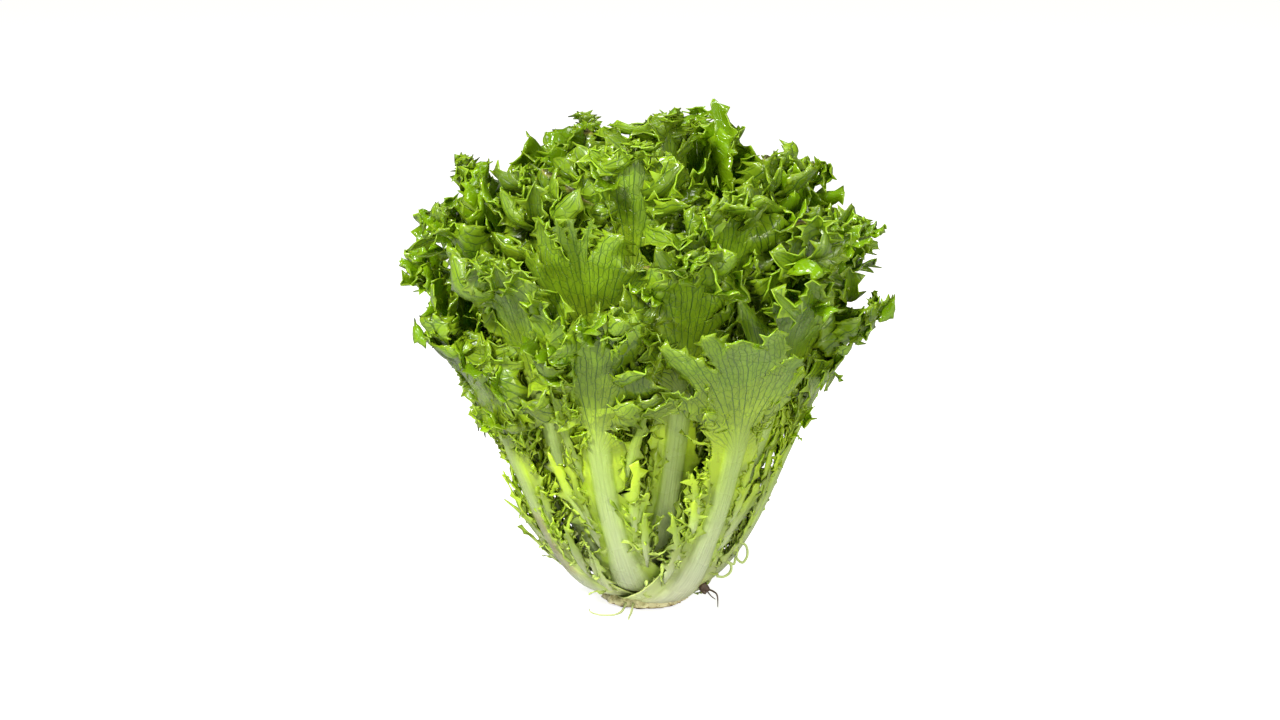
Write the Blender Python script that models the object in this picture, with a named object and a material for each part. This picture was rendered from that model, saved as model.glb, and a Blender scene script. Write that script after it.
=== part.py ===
"""A frilled batavia lettuce head that stands on its cut stem. Metres, +Z up, the front faces -Y."""

import math
import random

import bmesh
import bpy
import numpy as np

# The head: a dome of frills over a bowl of pale ribs
HEAD_RADIUS = 0.110
DOME_CENTRE_Z = 0.150
DOME_RISE = 0.080
DOME_FULLNESS = 0.62
DOME_TURN = math.radians(97)
DOME_EASE = 0.85
HEART_LEAN = 0.010
BULGE_EASE = 0.43

# The walls that the leaves lie in, as (heart, outermost): how far out and how high they are pulled
# just above the root and at the shoulder
BOWL_RADIUS = (0.0040, 0.0580)
BOWL_Z = (0.0900, 0.0060)
SHOULDER_RADIUS = (0.0060, 0.0680)
SHOULDER_Z = (0.1500, 0.0950)
WALL_OVERRUN = 1.2
WALL_POINTS = 145

# The cut stem, a stub with a flat foot, hidden above by the leaf bases
STEM_RADIUS = 0.0170
STEM_FOOT_BEVEL = 0.0020
STEM_BELLY_Z = 0.0055
STEM_TOP_RADIUS = 0.0045
STEM_HEIGHT = 0.0460
STEM_SIDES = 24
STEM_GAP = 0.0003

# The leaves, from the outermost, which is leaf 1, to the heart
LEAF_COUNT = 30
FRONT_LEAF_TURN = math.radians(23)
GOLDEN_TURN = math.radians(137.508)
CROWDING = 0.66
LOWEST_ROOT_Z = 0.0045
HIGHEST_ROOT_Z = 0.0425
ROOT_SINK = 0.0015

# How far a leaf bows and leans sideways, in degrees round the axis. The front leaves have their own
SWAY = 6
FRONT_SWAY = {1: (12, -4), 4: (0, 3), 6: (-8, 0), 9: (12, 0), 19: (0, 0)}

# One leaf rises past the dome, by this share of its length
TALL_LEAVES = {28: 1.06}

# One leaf, as (outermost, heart): a narrow petiole that opens into a rounded fan
FAN_LENGTH = (0.052, 0.036)
FAN_HALF_WIDTH = (0.037, 0.026)
FAN_FOOT = 0.36
PETIOLE_HALF_WIDTH = (0.0110, 0.0070)
PETIOLE_FLARE = 0.55
PETIOLE_SHARE = 0.40
RIB_THICKNESS = (0.0036, 0.0020)
RIB_TAPER = 0.6
RIB_EDGE = 1.2
BLADE_THICKNESS = 0.0009

# The veins leave the midrib below the lobe that they run to, and bend outwards on the way
VEIN_DROP = 0.3
VEIN_RUN = 0.28
VEIN_EASE = 1.4
VEIN_ROWS = (0.0, 0.40, 0.72, 1.0)
VEIN_RISE = 0.9
VEIN_SPREAD = 1.15

# The cut margin: fringe teeth along the petiole, then lobes round the fan
FRINGE_TEETH = 3
FRINGE_DEPTH = 0.38
SIDE_LOBES = (5, 4)
YOUNG_AGE = 0.55
LOBES_END_SHARE = 0.94
LOBE_DEPTH = 0.42
TOOTH_MIDDLE = 0.55
LOBE_MIDDLE = 0.45
PEAK_AFTER = 0.12
NOTCH_AFTER = 0.45
ROOT_REACH = 0.75

# The frills: lobes stand out of the wall by turns, more so the higher they are
RUFFLE_STEPS = 2.1
RUFFLE_FOOT = 0.20
RUFFLE_CLIMB = 0.80
NOTCH_RUFFLE = 0.15
TIP_RUFFLE = 0.6
FRINGE_RUFFLE = 0.0020
TIP_RECURVE = 0.013
HEART_WRAP = 0.30

LEAF_GREEN = (0.11, 0.27, 0.02, 1.0)
STEM_CREAM = (0.72, 0.72, 0.45, 1.0)


def blend(pair, age):
    """A size between the pair's first value, at age 0, and its second, at age 1."""
    return pair[0] + (pair[1] - pair[0]) * age


def clear_scene():
    for obj in list(bpy.data.objects):
        bpy.data.objects.remove(obj)


def plain_material(name, colour, roughness):
    material = bpy.data.materials.new(name)
    material.use_nodes = True
    shader = material.node_tree.nodes["Principled BSDF"]
    shader.inputs["Base Color"].default_value = colour
    shader.inputs["Roughness"].default_value = roughness
    shader.inputs["Metallic"].default_value = 0.0
    return material


def stem_profile(swell=0.0):
    """The stem's outline from the foot's middle to its rounded top, as (radius, height), grown by swell."""
    return (
        (0.0, -swell),
        (STEM_RADIUS - STEM_FOOT_BEVEL + swell, -swell),
        (STEM_RADIUS + swell, STEM_FOOT_BEVEL),
        (STEM_RADIUS + swell, STEM_BELLY_Z),
        (STEM_TOP_RADIUS + swell, STEM_HEIGHT - STEM_TOP_RADIUS),
        (STEM_TOP_RADIUS * 0.6 + swell, STEM_HEIGHT - STEM_TOP_RADIUS * 0.25 + swell),
        (0.0, STEM_HEIGHT + swell),
    )


def turned_stem(name, swell=0.0):
    """The stem's outline spun once round the Z axis into one closed body."""
    bm = bmesh.new()
    corners = [bm.verts.new((radius, 0.0, z)) for radius, z in stem_profile(swell)]
    edges = [bm.edges.new(pair) for pair in zip(corners, corners[1:])]
    bmesh.ops.spin(
        bm,
        geom=corners + edges,
        cent=(0, 0, 0),
        axis=(0, 0, 1),
        angle=math.tau,
        steps=STEM_SIDES,
        use_merge=True,
    )
    bmesh.ops.remove_doubles(bm, verts=bm.verts, dist=1e-6)
    bmesh.ops.recalc_face_normals(bm, faces=bm.faces)
    mesh = bpy.data.meshes.new(name)
    bm.to_mesh(mesh)
    bm.free()
    mesh.shade_smooth()
    mesh.set_sharp_from_angle(angle=math.radians(35))
    obj = bpy.data.objects.new(name, mesh)
    bpy.context.collection.objects.link(obj)
    return obj


def stem_radius_at(z):
    """The cone's radius above the belly, where the leaves are rooted."""
    share = (z - STEM_BELLY_Z) / (STEM_HEIGHT - STEM_TOP_RADIUS - STEM_BELLY_Z)
    return blend((STEM_RADIUS, STEM_TOP_RADIUS), min(max(share, 0.0), 1.0))


class LayerWall:
    """The cup-shaped wall that one leaf lies in: a cubic curve from the stem to the dome, turned
    round the axis. wrap is 1 for the outermost layer and falls towards 0 at the heart."""

    def __init__(self, wrap):
        root_z = blend((HIGHEST_ROOT_Z, LOWEST_ROOT_Z), wrap)
        root_r = stem_radius_at(root_z) - ROOT_SINK
        dome = DOME_TURN * wrap**DOME_EASE
        crown = max(math.cos(dome), 0.0) ** DOME_FULLNESS + min(math.cos(dome), 0.0)
        bulge = wrap**BULGE_EASE
        corners = np.array(
            [
                (root_r, root_z),
                (blend(BOWL_RADIUS, bulge), blend(BOWL_Z, wrap)),
                (blend(SHOULDER_RADIUS, bulge), blend(SHOULDER_Z, wrap)),
                (
                    HEAD_RADIUS * math.sin(dome) - HEART_LEAN * (1 - wrap) ** 3,
                    DOME_CENTRE_Z + DOME_RISE * crown,
                ),
            ]
        )
        s = np.linspace(0.0, WALL_OVERRUN, WALL_POINTS)[:, None]
        self.points = (
            corners[0] * (1 - s) ** 3
            + corners[1] * 3 * s * (1 - s) ** 2
            + corners[2] * 3 * s**2 * (1 - s)
            + corners[3] * s**3
        )
        steps = np.linalg.norm(np.diff(self.points, axis=0), axis=1)
        self.run = np.concatenate([[0.0], np.cumsum(steps)])
        tangent = np.gradient(self.points, self.run, axis=0)
        self.outward = np.stack([tangent[:, 1], -tangent[:, 0]], axis=1)
        self.outward /= np.linalg.norm(self.outward, axis=1)[:, None]
        self.length = float(np.interp(1.0, s[:, 0], self.run))

    def place(self, turn, along, across, lift):
        """The point along the wall from the stem, across it to the side, and lifted outwards off it."""
        radius, z = (np.interp(along, self.run, self.points[:, k]) for k in (0, 1))
        out_r, out_z = (np.interp(along, self.run, self.outward[:, k]) for k in (0, 1))
        angle = turn + across / np.maximum(radius, 0.002)
        reach = radius + lift * out_r
        return np.stack([reach * np.sin(angle), -reach * np.cos(angle), z + lift * out_z], axis=-1)


def fan_margin(share, age, length):
    """The leaf's smooth outline on one side, at share 0 for the stem and 1 for the tip.
    Gives the margin's place along and across the leaf, and where on the midrib its vein starts."""
    fan = blend(FAN_LENGTH, age)
    half = blend(FAN_HALF_WIDTH, age)
    petiole = blend(PETIOLE_HALF_WIDTH, age)
    fan_start = length - fan * (1 + FAN_FOOT)
    if share < PETIOLE_SHARE:
        along = fan_start * share / PETIOLE_SHARE
        across = petiole * (1 + PETIOLE_FLARE * share / PETIOLE_SHARE)
        return along, across, max(along - VEIN_DROP * across, 0.0)
    climb = (share - PETIOLE_SHARE) / (1 - PETIOLE_SHARE)
    turn = (math.pi - math.asin(petiole * (1 + PETIOLE_FLARE) / half)) * (1 - climb)
    across = half * math.sin(turn)
    along = length - fan + fan * math.cos(turn) * (FAN_FOOT if turn > math.pi / 2 else 1.0)
    lowest_vein = fan_start - VEIN_DROP * petiole * (1 + PETIOLE_FLARE)
    highest_vein = length - VEIN_RUN * fan
    return along, across, blend((lowest_vein, highest_vein), climb**VEIN_EASE)


def cut_margin(age, rng):
    """The margin's corners on one side, from the root to just below the tip, as (share, reach,
    lift sign). Teeth and lobes stand at full reach, and the notches between them are cut in."""
    corners = [(0.0, ROOT_REACH, 0.0)]
    lobes = SIDE_LOBES[age > YOUNG_AGE]
    for k in range(FRINGE_TEETH + lobes):
        if k < FRINGE_TEETH:
            pitch = PETIOLE_SHARE / FRINGE_TEETH
            middle = pitch * (k + TOOTH_MIDDLE)
            depth = FRINGE_DEPTH
        else:
            pitch = (LOBES_END_SHARE - PETIOLE_SHARE) / lobes
            middle = PETIOLE_SHARE + pitch * (k - FRINGE_TEETH + LOBE_MIDDLE)
            depth = LOBE_DEPTH
        sign = (1 if k % 2 else -1) * rng.uniform(0.65, 1.0)
        peak = rng.uniform(0.88, 1.06)
        notch = 1 - depth * rng.uniform(0.8, 1.1)
        corners.append((middle + PEAK_AFTER * pitch, peak, sign))
        corners.append((middle + NOTCH_AFTER * pitch, notch, NOTCH_RUFFLE * sign))
    return corners


def leaf_sheet(name, number):
    """A leaf's blade as one thin sheet. Its columns run from the midrib out to the cut margin, up one
    side, over the tip and down the other."""
    rng = random.Random(number)
    age = number / (LEAF_COUNT - 1)
    wrap = (1 - (number + 0.4) / LEAF_COUNT) ** CROWDING
    wall = LayerWall(wrap)
    layer_gap = HEAD_RADIUS * DOME_TURN * CROWDING * DOME_EASE / LEAF_COUNT
    length = wall.length * rng.uniform(0.97, 1.0) * TALL_LEAVES.get(number + 1, 1.0)
    turn = FRONT_LEAF_TURN + number * GOLDEN_TURN
    bow, lean = FRONT_SWAY.get(number + 1, (rng.uniform(-SWAY, SWAY), rng.uniform(-SWAY, SWAY)))
    left, right = cut_margin(age, rng), cut_margin(age, rng)
    tip = (1.0, 1.0, rng.choice((-TIP_RUFFLE, TIP_RUFFLE)))
    columns = [(-1, c) for c in left] + [(0, tip)] + [(1, c) for c in reversed(right)]
    rows = len(VEIN_ROWS)
    thickest = blend(RIB_THICKNESS, age)
    bm = bmesh.new()
    flesh = bm.verts.layers.deform.verify()
    bmesh.ops.create_grid(bm, x_segments=len(columns) - 1, y_segments=rows - 1, size=1.0)
    for vert in bm.verts:
        column = round((vert.co.x + 1) / 2 * (len(columns) - 1))
        row = round((vert.co.y + 1) / 2 * (rows - 1))
        side, (share, reach, sign) = columns[column]
        margin_along, margin_across, rib_along = fan_margin(share, age, length)
        out = VEIN_ROWS[row] * reach
        along = rib_along + (margin_along - rib_along) * out**VEIN_RISE
        across = side * margin_across * out**VEIN_SPREAD
        climb = max(share - PETIOLE_SHARE, 0.0) / (1 - PETIOLE_SHARE)
        lobe_ruffle = RUFFLE_STEPS * layer_gap * (RUFFLE_FOOT + RUFFLE_CLIMB * climb)
        swell = lobe_ruffle if climb > 0 else FRINGE_RUFFLE
        recurve = TIP_RECURVE * climb**2 * (wrap - HEART_WRAP) / (1 - HEART_WRAP)
        lift = (swell * sign + recurve) * out**2
        height = along / length
        sway = math.radians(bow * math.sin(math.pi * height) + lean * height)
        vert.co = wall.place(turn + sway, along, across, lift)
        rib = (1 - min(height, 1.0)) ** RIB_TAPER * max(1 - out, 0.0) ** RIB_EDGE
        vert[flesh][0] = (BLADE_THICKNESS + (thickest - BLADE_THICKNESS) * rib) / thickest
    bmesh.ops.remove_doubles(bm, verts=bm.verts, dist=1e-6)
    bmesh.ops.triangulate(bm, faces=bm.faces)
    mesh = bpy.data.meshes.new(name)
    bm.to_mesh(mesh)
    bm.free()
    obj = bpy.data.objects.new(name, mesh)
    bpy.context.collection.objects.link(obj)
    obj.vertex_groups.new(name="flesh")
    return obj, thickest


def make_leaf(number, stem_cutter, material):
    """One leaf: its sheet given flesh, thick at the rib, and its root trimmed clear of the stem."""
    obj, thickest = leaf_sheet(f"leaf_{number + 1:02d}", number)
    flesh = obj.modifiers.new("Flesh", "SOLIDIFY")
    flesh.thickness = thickest
    flesh.offset = 0.0
    flesh.vertex_group = "flesh"
    trim = obj.modifiers.new("Root trim", "BOOLEAN")
    trim.operation = "DIFFERENCE"
    trim.object = stem_cutter
    obj.data.materials.append(material)
    return obj


def main():
    clear_scene()
    stem = turned_stem("stem")
    stem.data.materials.append(plain_material("stem", STEM_CREAM, 0.55))
    stem_cutter = turned_stem("stem_clearance", swell=STEM_GAP)
    stem_cutter.hide_render = True
    stem_cutter.display_type = "WIRE"
    leaf_material = plain_material("leaf", LEAF_GREEN, 0.40)
    for number in range(LEAF_COUNT):
        make_leaf(number, stem_cutter, leaf_material)


main()
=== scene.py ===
"""A frilled batavia lettuce head: the looks of the leaves, the cut stem, the light and the camera."""

import math
import random

import bmesh
import bpy
import numpy as np
from mathutils import Matrix, Vector, noise


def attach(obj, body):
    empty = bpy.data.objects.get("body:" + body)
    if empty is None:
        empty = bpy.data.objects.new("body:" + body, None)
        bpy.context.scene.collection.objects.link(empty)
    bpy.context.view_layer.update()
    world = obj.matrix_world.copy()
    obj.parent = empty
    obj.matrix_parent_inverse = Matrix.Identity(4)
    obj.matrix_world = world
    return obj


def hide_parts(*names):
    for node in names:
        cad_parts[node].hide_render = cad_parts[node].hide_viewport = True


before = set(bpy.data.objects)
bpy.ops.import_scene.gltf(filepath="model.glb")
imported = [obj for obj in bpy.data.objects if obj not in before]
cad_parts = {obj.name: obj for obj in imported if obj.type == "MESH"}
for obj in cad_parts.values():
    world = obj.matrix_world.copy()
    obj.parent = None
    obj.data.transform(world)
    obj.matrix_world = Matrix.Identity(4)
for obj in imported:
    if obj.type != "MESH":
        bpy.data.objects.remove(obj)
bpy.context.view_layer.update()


# The head. Thirty leaves stand round a short stem at the golden angle. Each grew inside the one before, so
# each lies in its own cup-shaped wall from the stem to the dome. The walls' pairs of sizes run from the
# heart's to the outermost.
HEAD_RADIUS = 0.110
DOME_CENTRE_Z = 0.150
DOME_RISE = 0.080
DOME_FULLNESS = 0.62
DOME_TURN = math.radians(97)
DOME_EASE = 0.85
HEART_LEAN = 0.010
BULGE_EASE = 0.43
BOWL_RADIUS = (0.0040, 0.0580)
BOWL_Z = (0.0900, 0.0060)
SHOULDER_RADIUS = (0.0060, 0.0680)
SHOULDER_Z = (0.1500, 0.0950)
WALL_OVERRUN = 1.2
WALL_POINTS = 145
LEAST_RADIUS = 0.002
STEM_RADIUS = 0.0170
STEM_BELLY_Z = 0.0055
STEM_TOP_RADIUS = 0.0045
STEM_HEIGHT = 0.0460
LEAF_COUNT = 30
FIRST_LEAF_INSET = 0.4
FRONT_LEAF_TURN = math.radians(23)
GOLDEN_TURN = math.radians(137.508)
CROWDING = 0.66
LOWEST_ROOT_Z = 0.0045
HIGHEST_ROOT_Z = 0.0425
ROOT_SINK = 0.0015


def blend(pair, share):
    """A size between the pair's first value, at share 0, and its second, at share 1."""
    return pair[0] + (pair[1] - pair[0]) * share


def stem_radius_at(z):
    """The cone's radius above the belly, where the leaves are rooted."""
    share = (z - STEM_BELLY_Z) / (STEM_HEIGHT - STEM_TOP_RADIUS - STEM_BELLY_Z)
    return blend((STEM_RADIUS, STEM_TOP_RADIUS), min(max(share, 0.0), 1.0))


class LayerWall:
    """The wall that one leaf lies in: a cubic curve from the stem to the dome, turned round the axis."""

    def __init__(self, wrap):
        root_z = blend((HIGHEST_ROOT_Z, LOWEST_ROOT_Z), wrap)
        root_r = stem_radius_at(root_z) - ROOT_SINK
        dome = DOME_TURN * wrap**DOME_EASE
        crown = max(math.cos(dome), 0.0) ** DOME_FULLNESS + min(math.cos(dome), 0.0)
        bulge = wrap**BULGE_EASE
        corners = np.array(
            [
                (root_r, root_z),
                (blend(BOWL_RADIUS, bulge), blend(BOWL_Z, wrap)),
                (blend(SHOULDER_RADIUS, bulge), blend(SHOULDER_Z, wrap)),
                (
                    HEAD_RADIUS * math.sin(dome) - HEART_LEAN * (1 - wrap) ** 3,
                    DOME_CENTRE_Z + DOME_RISE * crown,
                ),
            ]
        )
        s = np.linspace(0.0, WALL_OVERRUN, WALL_POINTS)[:, None]
        self.points = (
            corners[0] * (1 - s) ** 3
            + corners[1] * 3 * s * (1 - s) ** 2
            + corners[2] * 3 * s**2 * (1 - s)
            + corners[3] * s**3
        )
        steps = np.linalg.norm(np.diff(self.points, axis=0), axis=1)
        self.run = np.concatenate([[0.0], np.cumsum(steps)])
        tangent = np.gradient(self.points, self.run, axis=0)
        self.outward = np.stack([tangent[:, 1], -tangent[:, 0]], axis=1)
        self.outward /= np.linalg.norm(self.outward, axis=1)[:, None]
        self.length = float(np.interp(1.0, s[:, 0], self.run))

    def place(self, turn, along, across, lift):
        """The points along the wall from the stem, across it to the side, and lifted outwards off it."""
        radius, z = (np.interp(along, self.run, self.points[:, k]) for k in (0, 1))
        out_r, out_z = (np.interp(along, self.run, self.outward[:, k]) for k in (0, 1))
        angle = turn + across / np.maximum(radius, LEAST_RADIUS)
        reach = radius + lift * out_r
        return np.stack([reach * np.sin(angle), -reach * np.cos(angle), z + lift * out_z], axis=-1)


# The head's own outline, a full dome over a bowl that is a little tighter on the right, as (height,
# radius, middle). What would stand out of it gives way, as leaves do that are packed in a crate, and the
# roots are lifted off the table.
BOWL_OUTLINE = (
    (0.000, 0.0340, 0.000),
    (0.010, 0.0400, -0.002),
    (0.030, 0.0520, -0.005),
    (0.056, 0.0630, -0.005),
    (0.075, 0.0690, -0.004),
    (0.090, 0.0755, -0.002),
    (0.100, 0.0803, -0.001),
    (0.110, 0.0860, 0.000),
    (0.120, 0.0928, 0.000),
    (0.130, 0.1000, 0.000),
    (0.140, 0.1075, 0.000),
    (0.150, 0.1140, 0.000),
)
DOME_SQUARENESS = 2.4
GIVE = 0.62
CLEAR_OF_FLOOR = 0.0006
ROOT_LIFT = 0.0016
ROOT_LIFT_REACH = 0.040


def smooth_step(x):
    """A soft step from 0, at 0 and below, to 1, at 1 and above."""
    x = np.clip(x, 0, 1)
    return x * x * (3 - 2 * x)


def outline_share(points):
    """How far out the points lie, where 1 is the outline, and the outline's middle at their height."""
    x, y, z = points[..., 0], points[..., 1], points[..., 2]
    heights, radii, middles = np.array(BOWL_OUTLINE).T
    middle = np.interp(z, heights, middles)
    radius = np.hypot(x - middle, y)
    bowl = radius / np.interp(z, heights, radii)
    rise = np.maximum(z - DOME_CENTRE_Z, 0.0) / DOME_RISE
    dome = ((radius / radii[-1]) ** DOME_SQUARENESS + rise**DOME_SQUARENESS) ** (1 / DOME_SQUARENESS)
    return np.where(z > DOME_CENTRE_Z, dome, bowl), middle


def held_in(points):
    """The points, with what lies past the head's outline drawn in, and all of it above the table."""
    x, y, z = points[..., 0], points[..., 1], points[..., 2]
    past, middle = outline_share(points)
    scale = np.where(past > 1, (1 + (past - 1) * GIVE) / np.maximum(past, 1), 1.0)
    high = np.where(z > DOME_CENTRE_Z, DOME_CENTRE_Z + (z - DOME_CENTRE_Z) * scale, z)
    lifted = high + ROOT_LIFT * (1 - smooth_step(np.hypot(x, y) / ROOT_LIFT_REACH))
    return np.stack([middle + (x - middle) * scale, y * scale, np.maximum(lifted, CLEAR_OF_FLOOR)], axis=-1)


# A leaf opens from a narrow petiole into a rounded fan, and its root clasps the stem. Rays run from the
# midrib to the margin, where a place is told by its spot: -1 and 1 at the root's two sides, 0 at the tip.
# Pairs of sizes run from the outermost leaf, which is number 1, to the innermost.
FAN_LENGTH = (0.052, 0.036)
FAN_HALF_WIDTH = (0.037, 0.026)
FAN_FOOT = 0.36
PETIOLE_HALF_WIDTH = (0.0110, 0.0070)
PETIOLE_FLARE = 0.55
PETIOLE_SHARE = 0.40
CLASP_SPREAD = (1.0, 0.3)
CLASP_REACH = 0.45
LENGTH_SPREAD = (0.97, 1.0)
TALL_LEAVES = {1: 1.15, 4: 1.04, 18: 1.04, 23: 1.02, 26: 0.98, 27: 1.05, 28: 1.05, 29: 1.05, 30: 1.06}
FLAT_LEAVES = {1: 0.25, 4: 0.8, 9: 0.5, 19: 0.3}
BROAD_BELOW = 0.6
BROAD_GROWTH = 1.22
SWAY = 6
FRONT_SWAY = {1: (12, -4), 4: (0, 3), 6: (-8, 0), 9: (12, 0), 19: (0, 0)}
VEIN_DROP = 0.3
VEIN_RUN = 0.28
BROAD_VEIN_RUN = 0.85
VEIN_EASE = 1.4
VEIN_RISE = 0.9
VEIN_SPREAD = 1.15
FRINGE_TEETH = 3
SIDE_LOBES = (5, 4)
YOUNG_AGE = 0.55
LOBES_END_SHARE = 0.94
PEAK_SHARE = {"tooth": 0.67, "lobe": 0.57}
NOTCH_SHARE = {"tooth": 1.0, "lobe": 0.9}
WAVE_SIZE = (0.65, 1.0)
TOOTH_LENGTHS = (0.88, 1.06)
TOOTH_WIDTHS = (0.8, 1.1)
RUFFLE_STEPS = 2.1
RUFFLE_FOOT = 0.20
RUFFLE_CLIMB = 0.80
NOTCH_RUFFLE = 0.15
TIP_RUFFLE = 0.6
FRINGE_RUFFLE = 0.0020
TIP_RECURVE = 0.013
FLAT_RECURVE = 0.3
HEART_WRAP = 0.30


class LeafPlan:
    """One leaf's place in the head, its outline and the coarse waves of its fan. number starts at 0."""

    def __init__(self, number):
        rng = random.Random(number)
        self.number = number + 1
        self.age = number / (LEAF_COUNT - 1)
        self.side_lobes = SIDE_LOBES[self.age > YOUNG_AGE]
        self.wrap = (1 - (number + FIRST_LEAF_INSET) / LEAF_COUNT) ** CROWDING
        self.wall = LayerWall(self.wrap)
        self.length = self.wall.length * rng.uniform(*LENGTH_SPREAD) * TALL_LEAVES.get(self.number, 1.0)
        self.turn = FRONT_LEAF_TURN + number * GOLDEN_TURN
        drawn = (rng.uniform(-SWAY, SWAY), rng.uniform(-SWAY, SWAY))
        self.bow, self.lean = FRONT_SWAY.get(self.number, drawn)
        self.flat = FLAT_LEAVES.get(self.number, 1.0)
        self.broad = self.flat < BROAD_BELOW
        left, right = self.margin_waves(rng), self.margin_waves(rng)
        tip = (0.0, rng.choice((-TIP_RUFFLE, TIP_RUFFLE)))
        waves = [(share - 1, sign) for share, sign in left] + [tip]
        waves += [(1 - share, sign) for share, sign in reversed(right)]
        self.wave_spots, self.wave_signs = np.array(waves).T

    def lobe_pitch(self):
        return (LOBES_END_SHARE - PETIOLE_SHARE) / self.side_lobes

    def fan_foot(self):
        """The height of the fan's foot, as a share of the leaf's length."""
        return 1 - blend(FAN_LENGTH, self.age) * (1 + FAN_FOOT) / self.length

    def margin_waves(self, rng):
        """Where the solid leaf's margin stands out of its wall, as (share of the margin, sign)."""
        waves = [(0.0, 0.0)]
        for k in range(FRINGE_TEETH + self.side_lobes):
            kind = "tooth" if k < FRINGE_TEETH else "lobe"
            pitch = PETIOLE_SHARE / FRINGE_TEETH if kind == "tooth" else self.lobe_pitch()
            start = 0.0 if kind == "tooth" else PETIOLE_SHARE - FRINGE_TEETH * pitch
            sign = (1 if k % 2 else -1) * rng.uniform(*WAVE_SIZE)
            # The solid leaf draws each tooth's length and width here, so the same draws are passed over
            rng.uniform(*TOOTH_LENGTHS)
            rng.uniform(*TOOTH_WIDTHS)
            waves.append((start + (k + PEAK_SHARE[kind]) * pitch, sign))
            waves.append((start + (k + NOTCH_SHARE[kind]) * pitch, NOTCH_RUFFLE * sign))
        return waves

    def margin(self, spot):
        """The margin's places along and across the leaf, and where on the midrib the ray to it starts."""
        share = 1 - np.abs(spot)
        side = np.where(spot < 0, -1.0, 1.0)
        fan = blend(FAN_LENGTH, self.age)
        half = blend(FAN_HALF_WIDTH, self.age) * (BROAD_GROWTH if self.broad else 1.0)
        petiole = blend(PETIOLE_HALF_WIDTH, self.age)
        fan_start = self.length - fan * (1 + FAN_FOOT)
        low = np.clip(share / PETIOLE_SHARE, 0, 1)
        clasp = blend(CLASP_SPREAD, self.age) * (1 - smooth_step(low / CLASP_REACH))
        low_across = petiole * (1 + PETIOLE_FLARE * low + clasp)
        low_foot = np.maximum(fan_start * low - VEIN_DROP * low_across, 0.0)
        climb = np.clip((share - PETIOLE_SHARE) / (1 - PETIOLE_SHARE), 0, 1)
        turn = (math.pi - math.asin(petiole * (1 + PETIOLE_FLARE) / half)) * (1 - climb)
        top_along = self.length - fan + fan * np.cos(turn) * np.where(turn > math.pi / 2, FAN_FOOT, 1.0)
        lowest_vein = fan_start - VEIN_DROP * petiole * (1 + PETIOLE_FLARE)
        highest_vein = self.length - (BROAD_VEIN_RUN if self.broad else VEIN_RUN) * fan
        top_foot = blend((lowest_vein, highest_vein), climb**VEIN_EASE)
        below = share < PETIOLE_SHARE
        along = np.where(below, fan_start * low, top_along)
        across = side * np.where(below, low_across, half * np.sin(turn))
        return along, across, np.where(below, low_foot, top_foot)

    def wave(self, spot):
        """How far the margin stands out of the wall at a spot."""
        climb = np.clip((1 - np.abs(spot) - PETIOLE_SHARE) / (1 - PETIOLE_SHARE), 0, 1)
        layer_gap = HEAD_RADIUS * DOME_TURN * CROWDING * DOME_EASE / LEAF_COUNT
        lobe_ruffle = RUFFLE_STEPS * layer_gap * (RUFFLE_FOOT + RUFFLE_CLIMB * climb)
        swell = np.where(climb > 0, lobe_ruffle, FRINGE_RUFFLE)
        ruffle = swell * np.interp(spot, self.wave_spots, self.wave_signs)
        recurve = TIP_RECURVE * climb**2 * (self.wrap - HEART_WRAP) / (1 - HEART_WRAP)
        return ruffle * self.flat + recurve * min(self.flat + FLAT_RECURVE, 1.0)

    def ray(self, spot, out):
        """The places (along, across, lift) on the rays to the margin's spots, at shares out of the way."""
        along, across, foot = self.margin(spot)
        far = np.clip(out, 0, None)
        return np.stack(
            [
                foot + (along - foot) * far**VEIN_RISE,
                across * far**VEIN_SPREAD,
                self.wave(spot) * far**2,
            ],
            axis=-1,
        )

    def free_place(self, places):
        """Places (along, across, lift) in the leaf as points in the head, before it is held in."""
        height = places[..., 0] / self.length
        sway = np.radians(self.bow * np.sin(np.pi * np.clip(height, 0, 1)) + self.lean * height)
        return self.wall.place(self.turn + sway, places[..., 0], places[..., 1], places[..., 2])

    def place(self, places):
        """Places in the leaf as points in the head."""
        return held_in(self.free_place(places))

    def upright(self, along):
        """The pitch, off the wall, that points straight up at a place along the leaf."""
        out_r, out_z = (np.interp(along, self.wall.run, self.wall.outward[:, k]) for k in (0, 1))
        return np.arctan2(out_z, out_r)


# A tongue is a strip of thin leaf that a cut has freed. It bends, rolls and cups on its own, and its two
# edges run in hollows from one spiny tooth to the next. Speeds and spans say over which share of the
# tongue's length a change comes about.
LOBE_COLUMNS = np.array([-1.0, -0.8, -0.4, 0.0, 0.4, 0.8, 1.0])
STILL_SHARE = 0.3
LOBE_BEND = math.radians(65)
BEND_START = 0.1
LOBE_FLICK = (-0.6, 1.0)
FLICK_POWER = 4
LOBE_ROLL = math.radians(65)
ROLL_SPEED = 1.6
LOBE_SLIDE = math.radians(25)
STAND_SPAN = 0.35
LOBE_RISE = (0.1, 1.1)
RISE_SPEED = 1.2
LOBE_GATHER = (0.2, 0.9)
GATHER_SPEED = 1.3
FLAT_GATHER = 0.4
LOBE_REACH = (0.88, 1.08)
LOBE_CUP = (0.35, 1.25)
CUP_SPEED = 2
CUP_LEVEL = 0.35
LOBE_RIPPLE = (0.0004, 0.0013)
RIPPLE_TURNS = (1.2, 2.6)
RIPPLE_SPEED = 3
WIDENING_SPAN = 0.42
TAPER_START = (0.30, 0.55)
TAPER_POWER = 1.9
LEAST_WIDTH = 0.00025
LOBE_TOOTH = 0.0036
TOOTH_SPREAD = (0.75, 1.25)
TOOTH_SIZE = (0.45, 1.2)
TOOTH_EVERY = 4
TOOTH_SPEED = 5
TOOTH_HOLLOW = 0.25
HOLLOW_SIZE = (0.7, 1.2)
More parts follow.
